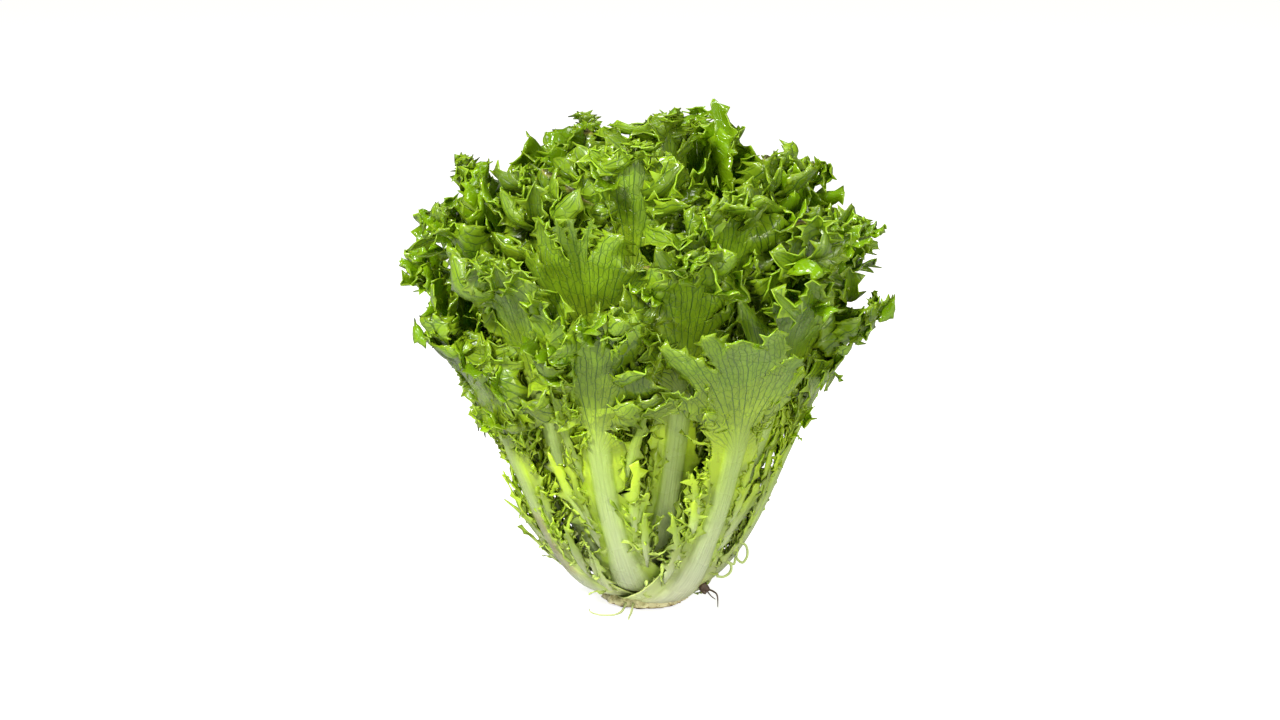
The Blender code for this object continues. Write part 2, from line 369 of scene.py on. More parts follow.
TOOTH_LEAN = 0.0012
LEAN_SPEED = 4
TOOTH_TILT = (-0.5, 0.5)
TOOTH_SEEDS = 100000
EDGE_POWER = 5
EDGE_TIP = 0.88
SHORTEST_TONGUE = 0.45


class Curl:
    """How one tongue of leaf curls: drawn afresh for each, and calmer on the leaves that lie flat."""

    def __init__(self, draw, liveliness, tooth=LOBE_TOOTH):
        calm = blend((STILL_SHARE, 1.0), liveliness)
        self.bend = draw.uniform(-1, 1) * LOBE_BEND * calm
        self.flick = draw.uniform(*LOBE_FLICK) * calm
        self.roll = draw.uniform(-1, 1) * LOBE_ROLL * liveliness
        self.slide = draw.uniform(-1, 1) * LOBE_SLIDE * calm
        self.cup = draw.choice((-1, 1)) * draw.uniform(*LOBE_CUP) * calm
        self.ripple = draw.uniform(*LOBE_RIPPLE) * calm
        self.ripple_turns = draw.uniform(*RIPPLE_TURNS)
        self.ripple_start = draw.uniform(0, math.tau)
        self.taper_from = draw.uniform(*TAPER_START)
        self.tooth = tooth * draw.uniform(*TOOTH_SPREAD)
        self.tooth_row = draw.integers(TOOTH_EVERY)
        self.stand = 0.0
        self.rise = draw.uniform(*LOBE_RISE) * calm
        self.gather = draw.uniform(*LOBE_GATHER) * max(liveliness * (1 + FLAT_GATHER) - FLAT_GATHER, 0.0)
        self.reach = draw.uniform(*LOBE_REACH)


def curled_line(curl, start, steps, heading, pitch, upright):
    """A tongue's middle line, and the ways ahead, to the side and up from it at each of its rows."""
    free = np.linspace(0, 1, len(heading))
    heading = heading * (1 - curl.gather * smooth_step(free * GATHER_SPEED)) + curl.slide * smooth_step(free)
    pitch = pitch + curl.stand * smooth_step(free / STAND_SPAN)
    pitch = pitch + curl.bend * smooth_step(free - BEND_START) + curl.flick * free**FLICK_POWER
    pitch = pitch + (upright - pitch) * curl.rise * smooth_step(free * RISE_SPEED)
    level = np.cos(pitch)
    ahead = np.stack([level * np.cos(heading), level * np.sin(heading), np.sin(pitch)], axis=-1)
    middle = start + np.concatenate([np.zeros((1, 3)), np.cumsum(ahead[1:] * steps[:, None], axis=0)])
    side = np.stack([-np.sin(heading), np.cos(heading), np.zeros(len(heading))], axis=-1)
    up = np.cross(ahead, side)
    roll = (curl.roll * smooth_step(free * ROLL_SPEED))[:, None]
    side, up = np.cos(roll) * side + np.sin(roll) * up, np.cos(roll) * up - np.sin(roll) * side
    return middle, ahead, side, up


def add_teeth(curl, grid, ahead, side, up, draw):
    """Draws the grid's two edges out into spiny teeth, and hollows them in between."""
    columns, rows = grid.shape[:2]
    free = np.linspace(0, 1, rows)
    row = np.arange(rows)
    for column, sign in ((0, -1), (columns - 1, 1)):
        is_tooth = (row + curl.tooth_row + (column > 0)) % TOOTH_EVERY == 0
        teeth = draw.uniform(*TOOTH_SIZE, rows)
        hollows = -TOOTH_HOLLOW * draw.uniform(*HOLLOW_SIZE, rows)
        size = np.where(is_tooth, teeth, hollows) * curl.tooth * smooth_step(free * TOOTH_SPEED)
        size = size * (row < rows - 1)
        lean = np.where(is_tooth, TOOTH_LEAN, 0.0) * smooth_step(free * LEAN_SPEED)
        lean = lean * (curl.tooth / LOBE_TOOTH)
        tilt = draw.uniform(*TOOTH_TILT, rows) * size
        grid[column] += side * (sign * size)[:, None] + ahead * lean[:, None] + up * tilt[:, None]


def tongue(curl, start, steps, heading, pitch, upright, foot_width, full_width, columns, draw):
    """A tongue of leaf on a curled middle line, as a grid of places in the leaf's own space, and how near
    each is to the cut edge."""
    free = np.linspace(0, 1, len(heading))
    middle, ahead, side, up = curled_line(curl, start, steps, heading, pitch, upright)
    taper = 1 - np.clip((free - curl.taper_from) / (1 - curl.taper_from), 0, 1) ** TAPER_POWER
    width = foot_width + (full_width - foot_width) * smooth_step(free / WIDENING_SPAN)
    width = np.maximum(width * np.sqrt(np.clip(taper, 0, 1)), LEAST_WIDTH)
    cup = curl.cup * width * smooth_step(free * CUP_SPEED)
    ripple = curl.ripple * np.sin(free * curl.ripple_turns * math.tau + curl.ripple_start)
    ripple = ripple * smooth_step(free * RIPPLE_SPEED)
    u = columns[:, None, None]
    grid = middle[None] + u * side[None] * width[None, :, None]
    grid += up[None] * cup[None, :, None] * (u**2 - CUP_LEVEL)
    grid += up[None] * ripple[None, :, None] * u**2 * np.sign(u)
    add_teeth(curl, grid, ahead, side, up, draw)
    tip = smooth_step((free[None, :] - EDGE_TIP) / (1 - EDGE_TIP))
    return grid, np.maximum(np.abs(columns)[:, None] ** EDGE_POWER, tip)


def fitting_tongue(plan, draw, curl, start, steps, *shape):
    """A tongue that is kept short enough to end at the head's outline."""
    seed = draw.integers(TOOTH_SEEDS)
    grid, edge = tongue(curl, start, steps, *shape, np.random.default_rng(seed))
    past = float(outline_share(plan.free_place(grid))[0].max()) - 1
    if past > 0:
        shorter = max(1 - past * HEAD_RADIUS / float(steps.sum()), SHORTEST_TONGUE)
        grid, edge = tongue(curl, start, steps * shorter, *shape, np.random.default_rng(seed))
    return grid, edge


# The blade's margin is torn into lobes, which are tongues that begin inside the fan: deep cuts part them,
# and a shallow one splits each in two. Along the petiole the cuts leave short uneven fringes, and at the
# root none, where the leaf clasps the stem.
INNER_OUTS = np.linspace(0.0, 0.40, 6)
OUTER_OUTS = np.linspace(0.44, 1.0, 16)
OUTS = np.concatenate([INNER_OUTS, OUTER_OUTS])
ROWS = len(OUTS)
LEAST_FREE_ROWS = 3
FREEING_ROWS = 3.0
BROAD_COLUMNS = np.linspace(-1.0, 1.0, 8)
DEEP_CUT = (0.10, 0.26)
SHALLOW_CUT = (0.28, 0.48)
BROAD_SHORTENING = {DEEP_CUT: 0.12, SHALLOW_CUT: 0.26}
LOBE_SPLIT = (0.40, 0.60)
TIP_SPLIT = (0.6, 0.7)
CLASP_SHARE = 0.11
LOBE_SPREAD = (1.25, 1.85)
BROAD_SPREAD = (0.50, 0.66)
LOBE_STAND = (math.radians(75), math.radians(45))
LEAST_STAND = (-0.95, -0.6)
MOST_STAND = (0.4, 0.9)
LOW_STAND = 0.5
STAND_CLIMB = 3
OLD_RISE = 1.0
OLD_REACH = 0.5
LOW_GATHER = 0.75
GATHER_FADE = 1.5
FRINGE_COUNT = (15, 6)
FRINGE_CUT = (0.66, 0.92)
FRINGE_COLUMNS = np.array([-1.0, -0.4, 0.4, 1.0])
FRINGE_WIDTH = (0.0004, 0.0009)
FRINGE_TOOTH = 0.0009
FRINGE_RIPPLE = 0.0003
FRINGE_REACH = (0.5, 2.1)
FRINGE_REACH_POWER = 1.2
FRINGE_STAND = (-0.5, 0.8)
FRINGE_BEND = (-1.5, 1.9)
FRINGE_SLIDE = (-0.3, 0.9)


class Lobe:
    """A lobe or fringe between two cuts of the margin. A cut is told by its spot and its first row."""

    def __init__(self, plan, draw, low_cut, high_cut):
        self.middle = (low_cut[0] + high_cut[0]) / 2
        self.half = (high_cut[0] - low_cut[0]) / 2
        self.cuts = (low_cut[1], high_cut[1])
        self.width = 0.0
        self.spread = 1.0
        if abs(self.middle) > 1 - PETIOLE_SHARE:
            self.columns = FRINGE_COLUMNS
            self.curl = fringe_curl(draw, self.middle)
            self.width = draw.uniform(*FRINGE_WIDTH)
        else:
            self.columns = BROAD_COLUMNS if plan.broad else LOBE_COLUMNS
            self.curl = lobe_curl(plan, draw, (1 - abs(self.middle) - PETIOLE_SHARE) / (1 - PETIOLE_SHARE))
            self.spread = draw.uniform(*(BROAD_SPREAD if plan.broad else LOBE_SPREAD))

    def places(self, plan, draw):
        """The lobe's grid of places, columns by rows: part of the fan up to its cuts, and beyond them a
        tongue, with the same grid unfolded and how near each place is to the cut edge."""
        spots = self.middle + self.half * self.columns
        flat = plan.ray(spots[:, None], OUTS[None, :])
        first = min(*self.cuts, ROWS - LEAST_FREE_ROWS)
        middle = plan.ray(np.full(ROWS - first, self.middle), OUTS[first:])
        run = np.diff(middle, axis=0)
        steps = np.hypot(run[:, 0], run[:, 1])
        heading = np.arctan2(run[:, 1], run[:, 0])
        pitch = np.arctan2(run[:, 2], steps)
        heading, pitch = (np.concatenate([turn[:1], turn]) for turn in (heading, pitch))
        chords = np.linalg.norm(flat[-1, [first, -1], :2] - flat[0, [first, -1], :2], axis=-1) / 2
        full = self.width or chords[1] * self.spread
        shape = (heading, pitch, plan.upright(middle[0, 0]), chords[0], full, self.columns)
        grid, near = fitting_tongue(plan, draw, self.curl, middle[0], steps * self.curl.reach, *shape)
        cut_row = np.interp(self.columns, [-1, 1], self.cuts)
        freed = smooth_step((np.arange(first, ROWS)[None, :] - cut_row[:, None]) / FREEING_ROWS)
        places = flat.copy()
        places[:, first:] = flat[:, first:] * (1 - freed[..., None]) + grid * freed[..., None]
        edge = np.zeros(flat.shape[:2])
        edge[:, first:] = near * freed
        return places, flat, edge


def fringe_curl(draw, middle):
    """The curl of a short fringe at a petiole's edge, which leans towards the root or the tip."""
    curl = Curl(draw, 1.0, FRINGE_TOOTH)
    curl.gather, curl.rise, curl.cup = 0.0, 0.0, 0.0
    curl.reach = draw.uniform(*FRINGE_REACH) ** FRINGE_REACH_POWER
    curl.stand = draw.uniform(*FRINGE_STAND)
    curl.bend = draw.uniform(*FRINGE_BEND)
    curl.slide = np.sign(-middle) * draw.uniform(*FRINGE_SLIDE)
    curl.ripple = FRINGE_RIPPLE
    return curl


def lobe_curl(plan, draw, climb):
    """The curl of a lobe at a share of the climb up the fan's margin."""
    curl = Curl(draw, plan.flat)
    stand = draw.uniform(blend(LEAST_STAND, plan.age), blend(MOST_STAND, plan.age))
    curl.stand = blend(LOBE_STAND, plan.age) * stand * plan.flat
    curl.stand *= LOW_STAND + (1 - LOW_STAND) * min(climb * STAND_CLIMB, 1)
    curl.rise = max(curl.rise, OLD_RISE * plan.age * plan.flat)
    curl.reach *= 1 + OLD_REACH * plan.age * plan.flat * (1 - climb)
    curl.gather = max(curl.gather, LOW_GATHER - GATHER_FADE * climb)
    return curl


def side_cuts(plan, draw):
    """The cuts on one side of the leaf from its root to its tip, as (share of the margin, depths)."""
    ends = [PETIOLE_SHARE]
    ends += [PETIOLE_SHARE + (k + NOTCH_SHARE["lobe"]) * plan.lobe_pitch() for k in range(plan.side_lobes)]
    if plan.broad:
        ends = ends[::2]
    fringes = round(blend(FRINGE_COUNT, plan.age))
    cuts = [(k / fringes * PETIOLE_SHARE, FRINGE_CUT) for k in range(fringes)]
    for start, end in zip(ends, ends[1:]):
        cuts.append((start, DEEP_CUT))
        cuts.append((start + (end - start) * draw.uniform(*LOBE_SPLIT), SHALLOW_CUT))
    cuts.append((ends[-1], DEEP_CUT))
    cuts.append((ends[-1] + (1 - ends[-1]) * draw.uniform(*TIP_SPLIT), SHALLOW_CUT))
    return cuts


def margin_lobes(plan, draw):
    """The leaf's fringes and lobes in turn, from the root's left side over the tip to its right side."""
    shares = side_cuts(plan, draw)
    bounds = []
    for side in (-1, 1):
        cuts = []
        for share, depths in shares:
            start = draw.uniform(*depths) + plan.broad * BROAD_SHORTENING.get(depths, 0.0)
            row = ROWS - 1 if share < CLASP_SHARE else int(np.searchsorted(OUTS, start))
            cuts.append((side * (1 - share), row))
        bounds += cuts if side < 0 else cuts[::-1]
    return [Lobe(plan, draw, low_cut, high_cut) for low_cut, high_cut in zip(bounds, bounds[1:])]


# More tongues stand out of the fan's outer face where the blade is folded, and one of an inner leaf stands
# up past all others. The petiole's wings are torn into small toothed shreds and loose curly threads. Each
# kind is told as (rows, columns, tooth, liveliness), and turns and stands are in radians.
FACE_TONGUES = (14, 15)
FACE_ROWS = 12
FACE_KIND = (FACE_ROWS, LOBE_COLUMNS, LOBE_TOOTH, 1.0)
FACE_SPOT = (-0.5, 0.5)
FACE_OUT = (0.15, 0.75)
FACE_STAND = (0.5, 1.35)
FACE_LENGTH = (0.018, 0.034)
FACE_WIDTH = (0.0038, 0.0062)
FACE_TURN = (-0.7, 0.7)
SHREDS = (32, 4)
SHRED_KIND = (14, np.array([-1.0, 0.0, 1.0]), 0.0022, 1.0)
SHRED_SHARE = (0.28, 1.15)
SHRED_OUT = (0.55, 0.90)
SHRED_STAND = (-1.1, 0.4)
SHRED_LENGTH = (0.012, 0.042)
SHRED_WIDTH = (0.0005, 0.0014)
SHRED_TURN = (0.7, 1.7)
THREADS = (20, 1)
THREAD_KIND = (9, np.array([-1.0, 1.0]), 0.0003, 1.6)
THREAD_SHARE = (0.12, 1.0)
THREAD_OUT = (0.5, 0.9)
THREAD_STAND = (-0.5, 0.7)
THREAD_LENGTH = (0.009, 0.022)
THREAD_WIDTH = 0.0004
THREAD_TURN = (-0.6, 1.0)
LOOSE_GATHER = 0.5
LOOSE_FOOT = 0.5
RAY_STEP = 0.05
CREST_LEAF = 28
CREST_SPOT = -0.30
CREST_OUT = 0.80
CREST_LENGTH = 0.042
CREST_WIDTH = 0.0052
CREST_FOOT = 0.6
CREST_ROLL = math.radians(-44)
CREST_LIVELINESS = 0.5


def drawn_from(draw, *ranges):
    """One value drawn from each of the ranges in turn."""
    return [draw.uniform(*values) for values in ranges]


def loose_tongue(plan, draw, kind, spot, out, turn, stand, length, width):
    """A tongue that grows from a place on the blade, turned off the ray there and standing out of it."""
    rows, columns, tooth, liveliness = kind
    near, far = plan.ray(np.array([spot, spot]), np.array([out, out + RAY_STEP]))
    heading = math.atan2(far[1] - near[1], far[0] - near[0]) + turn
    curl = Curl(draw, liveliness, tooth)
    curl.gather *= LOOSE_GATHER
    steps = np.full(rows - 1, length / (rows - 1))
    way = (np.full(rows, heading), np.full(rows, stand), plan.upright(near[0]))
    return fitting_tongue(plan, draw, curl, near, steps, *way, width * LOOSE_FOOT, width, columns)


def face_tongue(plan, draw):
    ranges = (FACE_SPOT, FACE_OUT, FACE_STAND, FACE_LENGTH, FACE_WIDTH, FACE_TURN)
    spot, out, stand, length, width, turn = drawn_from(draw, *ranges)
    return loose_tongue(plan, draw, FACE_KIND, spot, out, turn, stand, length, width)


def shred(plan, draw, side):
    ranges = (SHRED_SHARE, SHRED_OUT, SHRED_STAND, SHRED_LENGTH, SHRED_WIDTH, SHRED_TURN)
    share, out, stand, length, width, turn = drawn_from(draw, *ranges)
    spot = side * (1 - PETIOLE_SHARE * share)
    return loose_tongue(plan, draw, SHRED_KIND, spot, out, -side * turn, stand, length, width)


def thread(plan, draw, side):
    ranges = (THREAD_SHARE, THREAD_OUT, THREAD_STAND, THREAD_LENGTH, THREAD_TURN)
    share, out, stand, length, turn = drawn_from(draw, *ranges)
    spot = side * (1 - PETIOLE_SHARE * share)
    return loose_tongue(plan, draw, THREAD_KIND, spot, out, -side * turn, stand, length, THREAD_WIDTH)


def crest_tongue(plan, draw):
    near = plan.ray(np.array([CREST_SPOT]), np.array([CREST_OUT]))[0]
    curl = Curl(draw, CREST_LIVELINESS)
    curl.gather, curl.rise, curl.bend, curl.stand, curl.roll = 0.0, 1.0, 0.0, 0.0, CREST_ROLL
    upright = plan.upright(near[0])
    steps = np.full(FACE_ROWS - 1, CREST_LENGTH / (FACE_ROWS - 1))
    way = (np.zeros(FACE_ROWS), np.full(FACE_ROWS, upright), upright)
    return tongue(curl, near, steps, *way, CREST_WIDTH * CREST_FOOT, CREST_WIDTH, LOBE_COLUMNS, draw)


def loose_tongues(plan, draw):
    """Every loose tongue, shred and thread of a leaf, as grids of places with their edges."""
    loose = [crest_tongue(plan, draw)] if plan.number == CREST_LEAF else []
    faces = round(blend(FACE_TONGUES, plan.age) * plan.flat**2)
    loose += [face_tongue(plan, draw) for _ in range(faces)]
    for side in (-1, 1):
        loose += [shred(plan, draw, side) for _ in range(round(blend(SHREDS, plan.age)))]
        loose += [thread(plan, draw, side) for _ in range(round(blend(THREADS, plan.age)))]
    return loose


# Side shoots fork off the lower petioles: slimmer ribs, spiny at their edges, that end in a tongue of thin
# green leaf. The outer leaves have the most of them, and the heart has none.
SHOOTS = (5.0, -3.5)
SHOOT_ROWS = 14
SHOOT_START = (0.12, 0.72)
SHOOT_TURN = (0.12, 0.42)
SHOOT_OUT = 0.72
SHOOT_LENGTH = (0.030, 0.058)
SHOOT_WIDTH = (0.0011, 0.0024)
SHOOT_SPREAD = (0.5, 1.3)
SHOOT_STAND = (0.05, 0.28)
SHOOT_UNBEND = (0.6, 1.4)
SHOOT_TOOTH = 0.0038
SHOOT_LIVELINESS = 0.35
SHOOT_THICKNESS = (0.0030, 0.0009)
SHOOT_RIB = (0.2, 0.8)
BLADE_THICKNESS = 0.00055


def side_shoot(plan, draw, side):
    """A side shoot as a grid of places, with how near each is to the edge, how pale it is and how thick."""
    spot = side * (1 - PETIOLE_SHARE * draw.uniform(*SHOOT_START))
    near = plan.ray(np.array([spot]), np.array([SHOOT_OUT]))[0]
    curl = Curl(draw, SHOOT_LIVELINESS, SHOOT_TOOTH)
    curl.gather, curl.rise, curl.slide, curl.cup = 0.0, 0.0, 0.0, -abs(curl.cup)
    curl.stand = draw.uniform(*SHOOT_STAND)
    curl.bend = -curl.stand * draw.uniform(*SHOOT_UNBEND)
    way = (np.full(SHOOT_ROWS, side * draw.uniform(*SHOOT_TURN)), np.zeros(SHOOT_ROWS), 0.0)
    steps = np.full(SHOOT_ROWS - 1, draw.uniform(*SHOOT_LENGTH) / (SHOOT_ROWS - 1))
    width = draw.uniform(*SHOOT_WIDTH)
    widths = (width * share for share in SHOOT_SPREAD)
    grid, edge = fitting_tongue(plan, draw, curl, near, steps, *way, *widths, LOBE_COLUMNS)
    free = np.linspace(0, 1, SHOOT_ROWS)
    ribness = np.sqrt(1 - LOBE_COLUMNS[:, None] ** 2) * (1 - smooth_step(free / SHOOT_RIB[1]))[None, :]
    rib = blend(SHOOT_THICKNESS, free) * smooth_step(free / SHOOT_RIB[0])
    return grid, edge, ribness, BLADE_THICKNESS + ribness * rib[None, :]


# The leaf's skin is closed, and thickest along the pale rib, which narrows above the root and fades out in
# the fan. The blade is puckered, with a ridge along each lobe, and its veins spread from a hub like a hand.
# One petiole has a brown bruise and a few tips are dry. The inner leaves are painted greener further
# down, which is painted green light for the shade between the leaves.
RIB_HALF_WIDTH = (0.0125, 0.0090)
RIB_WAIST = 0.45
RIB_WAIST_SHARE = 0.48
RIB_THICKNESS = (0.0052, 0.0026)
RIB_TIP_SHARE = 0.12
RIB_TAPER = 0.45
FADING_FROM = 0.8
FADING_SPAN = 0.55
ROOT_SHARE = 0.75
ROOT_REACH = 0.12
RIDGE_HEIGHT = 0.0003
RIDGE_WIDTH = 0.3
RIDGE_FROM = 0.25
RIDGE_SPAN = 0.25
PUCKER_SIZE = 150
PUCKER_DEPTH = 0.0007
PUCKER_RISE = 2.5
PUCKER_STEP = 7.3
EDGE_CALM = 0.5
HUB_BELOW_FAN = 0.018
NEAR_HUB = 0.001
VEIN_TURN = 0.19
CENTIMETRES = 100
MILLIMETRES = 1000
BRUISED_LEAF = 3
BRUISE_STRENGTH = 0.75
BRUISE_HEIGHT = 0.27
BRUISE_REACH = 0.12
BRUISE_RISE = 3
DRY_SHARE = 0.08
DRY_FROM = 0.9
DRY_SPAN = 0.08
TOP_HEIGHT = 1.1
# Painted green light: how much greener the low parts of the inner leaves are coloured, to stand for the
# green-lit shade between the leaves.
INNER_SHADE_GREEN = 0.24
INNER_AGE = 0.30
SHADE_GREEN_REACH = 0.5
LOOSE_VEIN_RUN = (2.5, 5.0)
LOOSE_VEIN_SPREAD = 0.9
LOOSE_STRANDS = 8
LEAF_SEEDS = 1000
SAME_PLACE = 1e-5
LEAF_LAYERS = ("height", "ribness", "edge", "tone", "across", "bruise")


def rib_form(plan, height, across):
    """How much of the rib each place is, how far the rib has faded there, and the skin's thickness."""
    fan_foot = plan.fan_foot()
    fading = 1 - smooth_step((height - fan_foot * FADING_FROM) / (1 - fan_foot) / FADING_SPAN)
    waist = smooth_step(height / fan_foot / RIB_WAIST)
    half_width = blend(RIB_HALF_WIDTH, plan.age) * (1 + (RIB_WAIST_SHARE - 1) * waist)
    ribness = np.sqrt(np.clip(1 - (across / half_width) ** 2, 0, 1))
    taper = RIB_TIP_SHARE + (1 - RIB_TIP_SHARE) * fading * (1 - RIB_TAPER * height)
    thickness = blend(RIB_THICKNESS, plan.age) * taper
    thickness *= ROOT_SHARE + (1 - ROOT_SHARE) * smooth_step(height / ROOT_REACH)
    return ribness, fading, BLADE_THICKNESS + np.maximum(thickness - BLADE_THICKNESS, 0) * ribness


def crease(plan, lobes, places, edge, ribness):
    """Raises a ridge along the middle of each lobe, and puckers the blade all over."""
    u = np.concatenate([lobe.columns for lobe in lobes])
    on_fan = 1 - np.abs(np.concatenate([lobe.middle + lobe.half * lobe.columns for lobe in lobes]))
    ridge = np.exp(-((u / RIDGE_WIDTH) ** 2))[:, None]
    ridge = ridge * smooth_step((OUTS - RIDGE_FROM) / RIDGE_SPAN)[None, :]
    places[..., 2] += RIDGE_HEIGHT * ridge * (on_fan > PETIOLE_SHARE)[:, None] * (1 - ribness)
    weight = np.minimum(OUTS * PUCKER_RISE, 1.0)[None, :] * (1 - ribness)
    weight = weight * (1 - EDGE_CALM * edge) * PUCKER_DEPTH
    for column, row in np.ndindex(places.shape[:2]):
        spot = Vector((*(places[column, row, :2] * PUCKER_SIZE), (plan.number - 1) * PUCKER_STEP))
        places[column, row, 2] += weight[column, row] * noise.noise(spot)


def vein_map(plan, flat):
    """Each place's turn round the veins' hub, counted in veins, and its way from the hub."""
    hub = plan.length * plan.fan_foot() - HUB_BELOW_FAN
    turn = np.arctan2(flat[..., 1], np.maximum(flat[..., 0] - hub, NEAR_HUB))
    return np.stack([turn / VEIN_TURN, np.hypot(flat[..., 0] - hub, flat[..., 1]) * CENTIMETRES], axis=-1)


def blade_skin(plan, lobes, draw):
    """The blade as a grid of places, with the values of its layers, its vein map and its thickness."""
    grids, flats, edges = zip(*(lobe.places(plan, draw) for lobe in lobes))
    places, flat, edge = (np.concatenate(part) for part in (grids, flats, edges))
    owners = [k for k, lobe in enumerate(lobes) for _ in lobe.columns]
    height = np.clip(places[..., 0] / plan.length, 0, TOP_HEIGHT)
    ribness, fading, thickness = rib_form(plan, height, flat[..., 1])
    crease(plan, lobes, places, edge, ribness)
    tone = draw.uniform(0, 1, len(lobes))[owners][:, None] + np.zeros(ROWS)
    bruised = 1 - np.abs(height - BRUISE_HEIGHT) / BRUISE_REACH
    bruise = BRUISE_STRENGTH * np.clip(bruised * BRUISE_RISE, 0, 1) * ribness
    bruise = bruise * (plan.number == BRUISED_LEAF)
    dry = (draw.uniform(0, 1, len(lobes)) < DRY_SHARE * plan.age)[owners]
    bruise = np.maximum(bruise, dry[:, None] * smooth_step((OUTS - DRY_FROM) / DRY_SPAN)[None, :])
    # Painted green light in the shade: the inner leaves' low parts are shifted towards the greener colours.
    inner = INNER_SHADE_GREEN * min(plan.age / INNER_AGE, 1.0)
    shade_greened_height = height + inner * (1 - smooth_step(height / SHADE_GREEN_REACH))
    values = (shade_greened_height, ribness * fading, edge, tone, np.abs(flat[..., 1]) * MILLIMETRES, bruise)
    return places, values, vein_map(plan, flat), thickness


def loose_skins(plan, draw):
    """The loose tongues and the side shoots, each told as the blade is."""
    loose = []
    for grid, edge in loose_tongues(plan, draw):
        loose.append((grid, edge, np.zeros(edge.shape), np.full(edge.shape, BLADE_THICKNESS)))
    shoots = max(round(blend(SHOOTS, plan.age)), 0)
    loose += [side_shoot(plan, draw, side) for side in (-1, 1) for _ in range(shoots)]
    skins = []
    for grid, edge, ribness, thickness in loose:
        bare = np.zeros(edge.shape)
        height = np.clip(grid[..., 0] / plan.length, 0, TOP_HEIGHT)
        middle = grid.shape[0] / 2
        across = (np.arange(grid.shape[0])[:, None] - middle) / middle * LOOSE_VEIN_SPREAD + 0.5 + bare
        run = np.linspace(*LOOSE_VEIN_RUN, grid.shape[1])[None, :] + bare
        tone = draw.uniform(0, 1) + bare
        values = (height, ribness, edge, tone, across * LOOSE_STRANDS, bare)
        skins.append((grid, values, np.stack([across, run], -1), thickness))
    return skins


def add_skin(bm, plan, skin, thickest):
    """Adds a skin as a sheet of faces, and returns the column and row of each vertex."""
    grid, values, veins, thickness = skin
    points = plan.place(grid)
    columns, rows = points.shape[:2]
    flesh = bm.verts.layers.deform.verify()
    layers = [bm.verts.layers.float[key] for key in LEAF_LAYERS]
    uv = bm.loops.layers.uv["veins"]
    cells = {}
    for vert in bmesh.ops.create_grid(bm, x_segments=columns - 1, y_segments=rows - 1, size=1.0)["verts"]:
        cell = round((vert.co.x + 1) / 2 * (columns - 1)), round((vert.co.y + 1) / 2 * (rows - 1))
        cells[vert] = cell
        vert.co = points[cell]
        vert[flesh][0] = thickness[cell] / thickest
        for layer, value in zip(layers, values):
            vert[layer] = value[cell]
    for face in {face for vert in cells for face in vert.link_faces}:
        face.smooth = True
        for loop in face.loops:
            loop[uv].uv = veins[cells[loop.vert]]
    return cells


def torn_faces(cells, lobes):
    """The faces that join two lobes further out than the cut between them starts."""
    owners = [k for k, lobe in enumerate(lobes) for _ in lobe.columns]
    torn = []
    for face in {face for vert in cells for face in vert.link_faces}:
        columns, rows = zip(*(cells[vert] for vert in face.verts))
        low, high = owners[min(columns)], owners[max(columns)]
        if low != high and max(rows) > lobes[low].cuts[1]:
            torn.append(face)
    return torn


def new_piece(bm, name):
    """The finished shape as an object in the scene."""
    mesh = bpy.data.meshes.new(name)
    bm.to_mesh(mesh)
    bm.free()
    piece = bpy.data.objects.new(name, mesh)
    bpy.context.collection.objects.link(piece)
    return piece


def build_leaf(number, materials):
    """One leaf's skin, with its loose tongues, as an object."""
    plan = LeafPlan(number)
    draw = np.random.default_rng(LEAF_SEEDS + number)
    lobes = margin_lobes(plan, draw)
    blade = blade_skin(plan, lobes, draw)
    thickest = float(blade[-1].max())
    bm = bmesh.new()
    bm.verts.layers.deform.verify()
    bm.loops.layers.uv.new("veins")
    for key in LEAF_LAYERS:
        bm.verts.layers.float.new(key)
    torn = torn_faces(add_skin(bm, plan, blade, thickest), lobes)
    for skin in loose_skins(plan, draw):
        add_skin(bm, plan, skin, thickest)
    bmesh.ops.delete(bm, geom=torn, context="FACES")
    bmesh.ops.remove_doubles(bm, verts=bm.verts, dist=SAME_PLACE)
    leaf = new_piece(bm, f"leaf_{plan.number:02d}_blade")
    leaf.vertex_groups.new(name="flesh")
    for material in materials:
        leaf.data.materials.append(material)
    skin = leaf.modifiers.new("Flesh", "SOLIDIFY")
    skin.thickness = thickest
    skin.offset = 0.0
    skin.vertex_group = "flesh"
    skin.material_offset = 1
    skin.material_offset_rim = 2
    return leaf


# A leaf's veins are pale on its upper face and dark from below. The main ones start at the hub, finer ones
# begin between them further out, and a net of cross veins fills the rest.
MAIN_WIDTH = 0.075
MAIN_SOFTNESS = 2.2
NET_WIDTH = 0.055
VEIN_WOBBLE = (0.30, 0.5, 0.0)
WOBBLE_SCALE = 1.1
WIDEST_AT = 0.8
VEIN_ORDERS = ((0.0, 0.0, 1.0), (0.5, 2.6, 1.2), (0.25, 4.0, 1.5), (0.75, 4.4, 1.5))
VEIN_START_SPAN = 0.5
LAST_VEINS = (6.4, 5.0)
NET_STRETCH = (2.4, 2.1, 1.0)


def add_node(tree, kind, inputs=None, **settings):
    """A shader node with its settings, and its inputs given as values or as sockets to link from."""
    node = tree.nodes.new(kind)
    for key, value in settings.items():
        setattr(node, key, value)
    for key, value in (inputs or {}).items():
        if isinstance(value, bpy.types.NodeSocket):
            tree.links.new(value, node.inputs[key])
        else:
            node.inputs[key].default_value = value
    return node


def ranged(tree, source, low, high, to_low=0.0, to_high=1.0, **settings):
    inputs = {"Value": source, "From Min": low, "From Max": high, "To Min": to_low, "To Max": to_high}
    return add_node(tree, "ShaderNodeMapRange", inputs, **settings).outputs["Result"]


def worked_out(tree, operation, first, second=0.0):
    return add_node(tree, "ShaderNodeMath", {0: first, 1: second}, operation=operation).outputs["Value"]


def product(tree, first, second):
    return worked_out(tree, "MULTIPLY", first, second)


def noise_at(tree, place, scale, detail, output="Fac"):
    inputs = {"Vector": place, "Scale": scale, "Detail": detail}
    return add_node(tree, "ShaderNodeTexNoise", inputs).outputs[output]


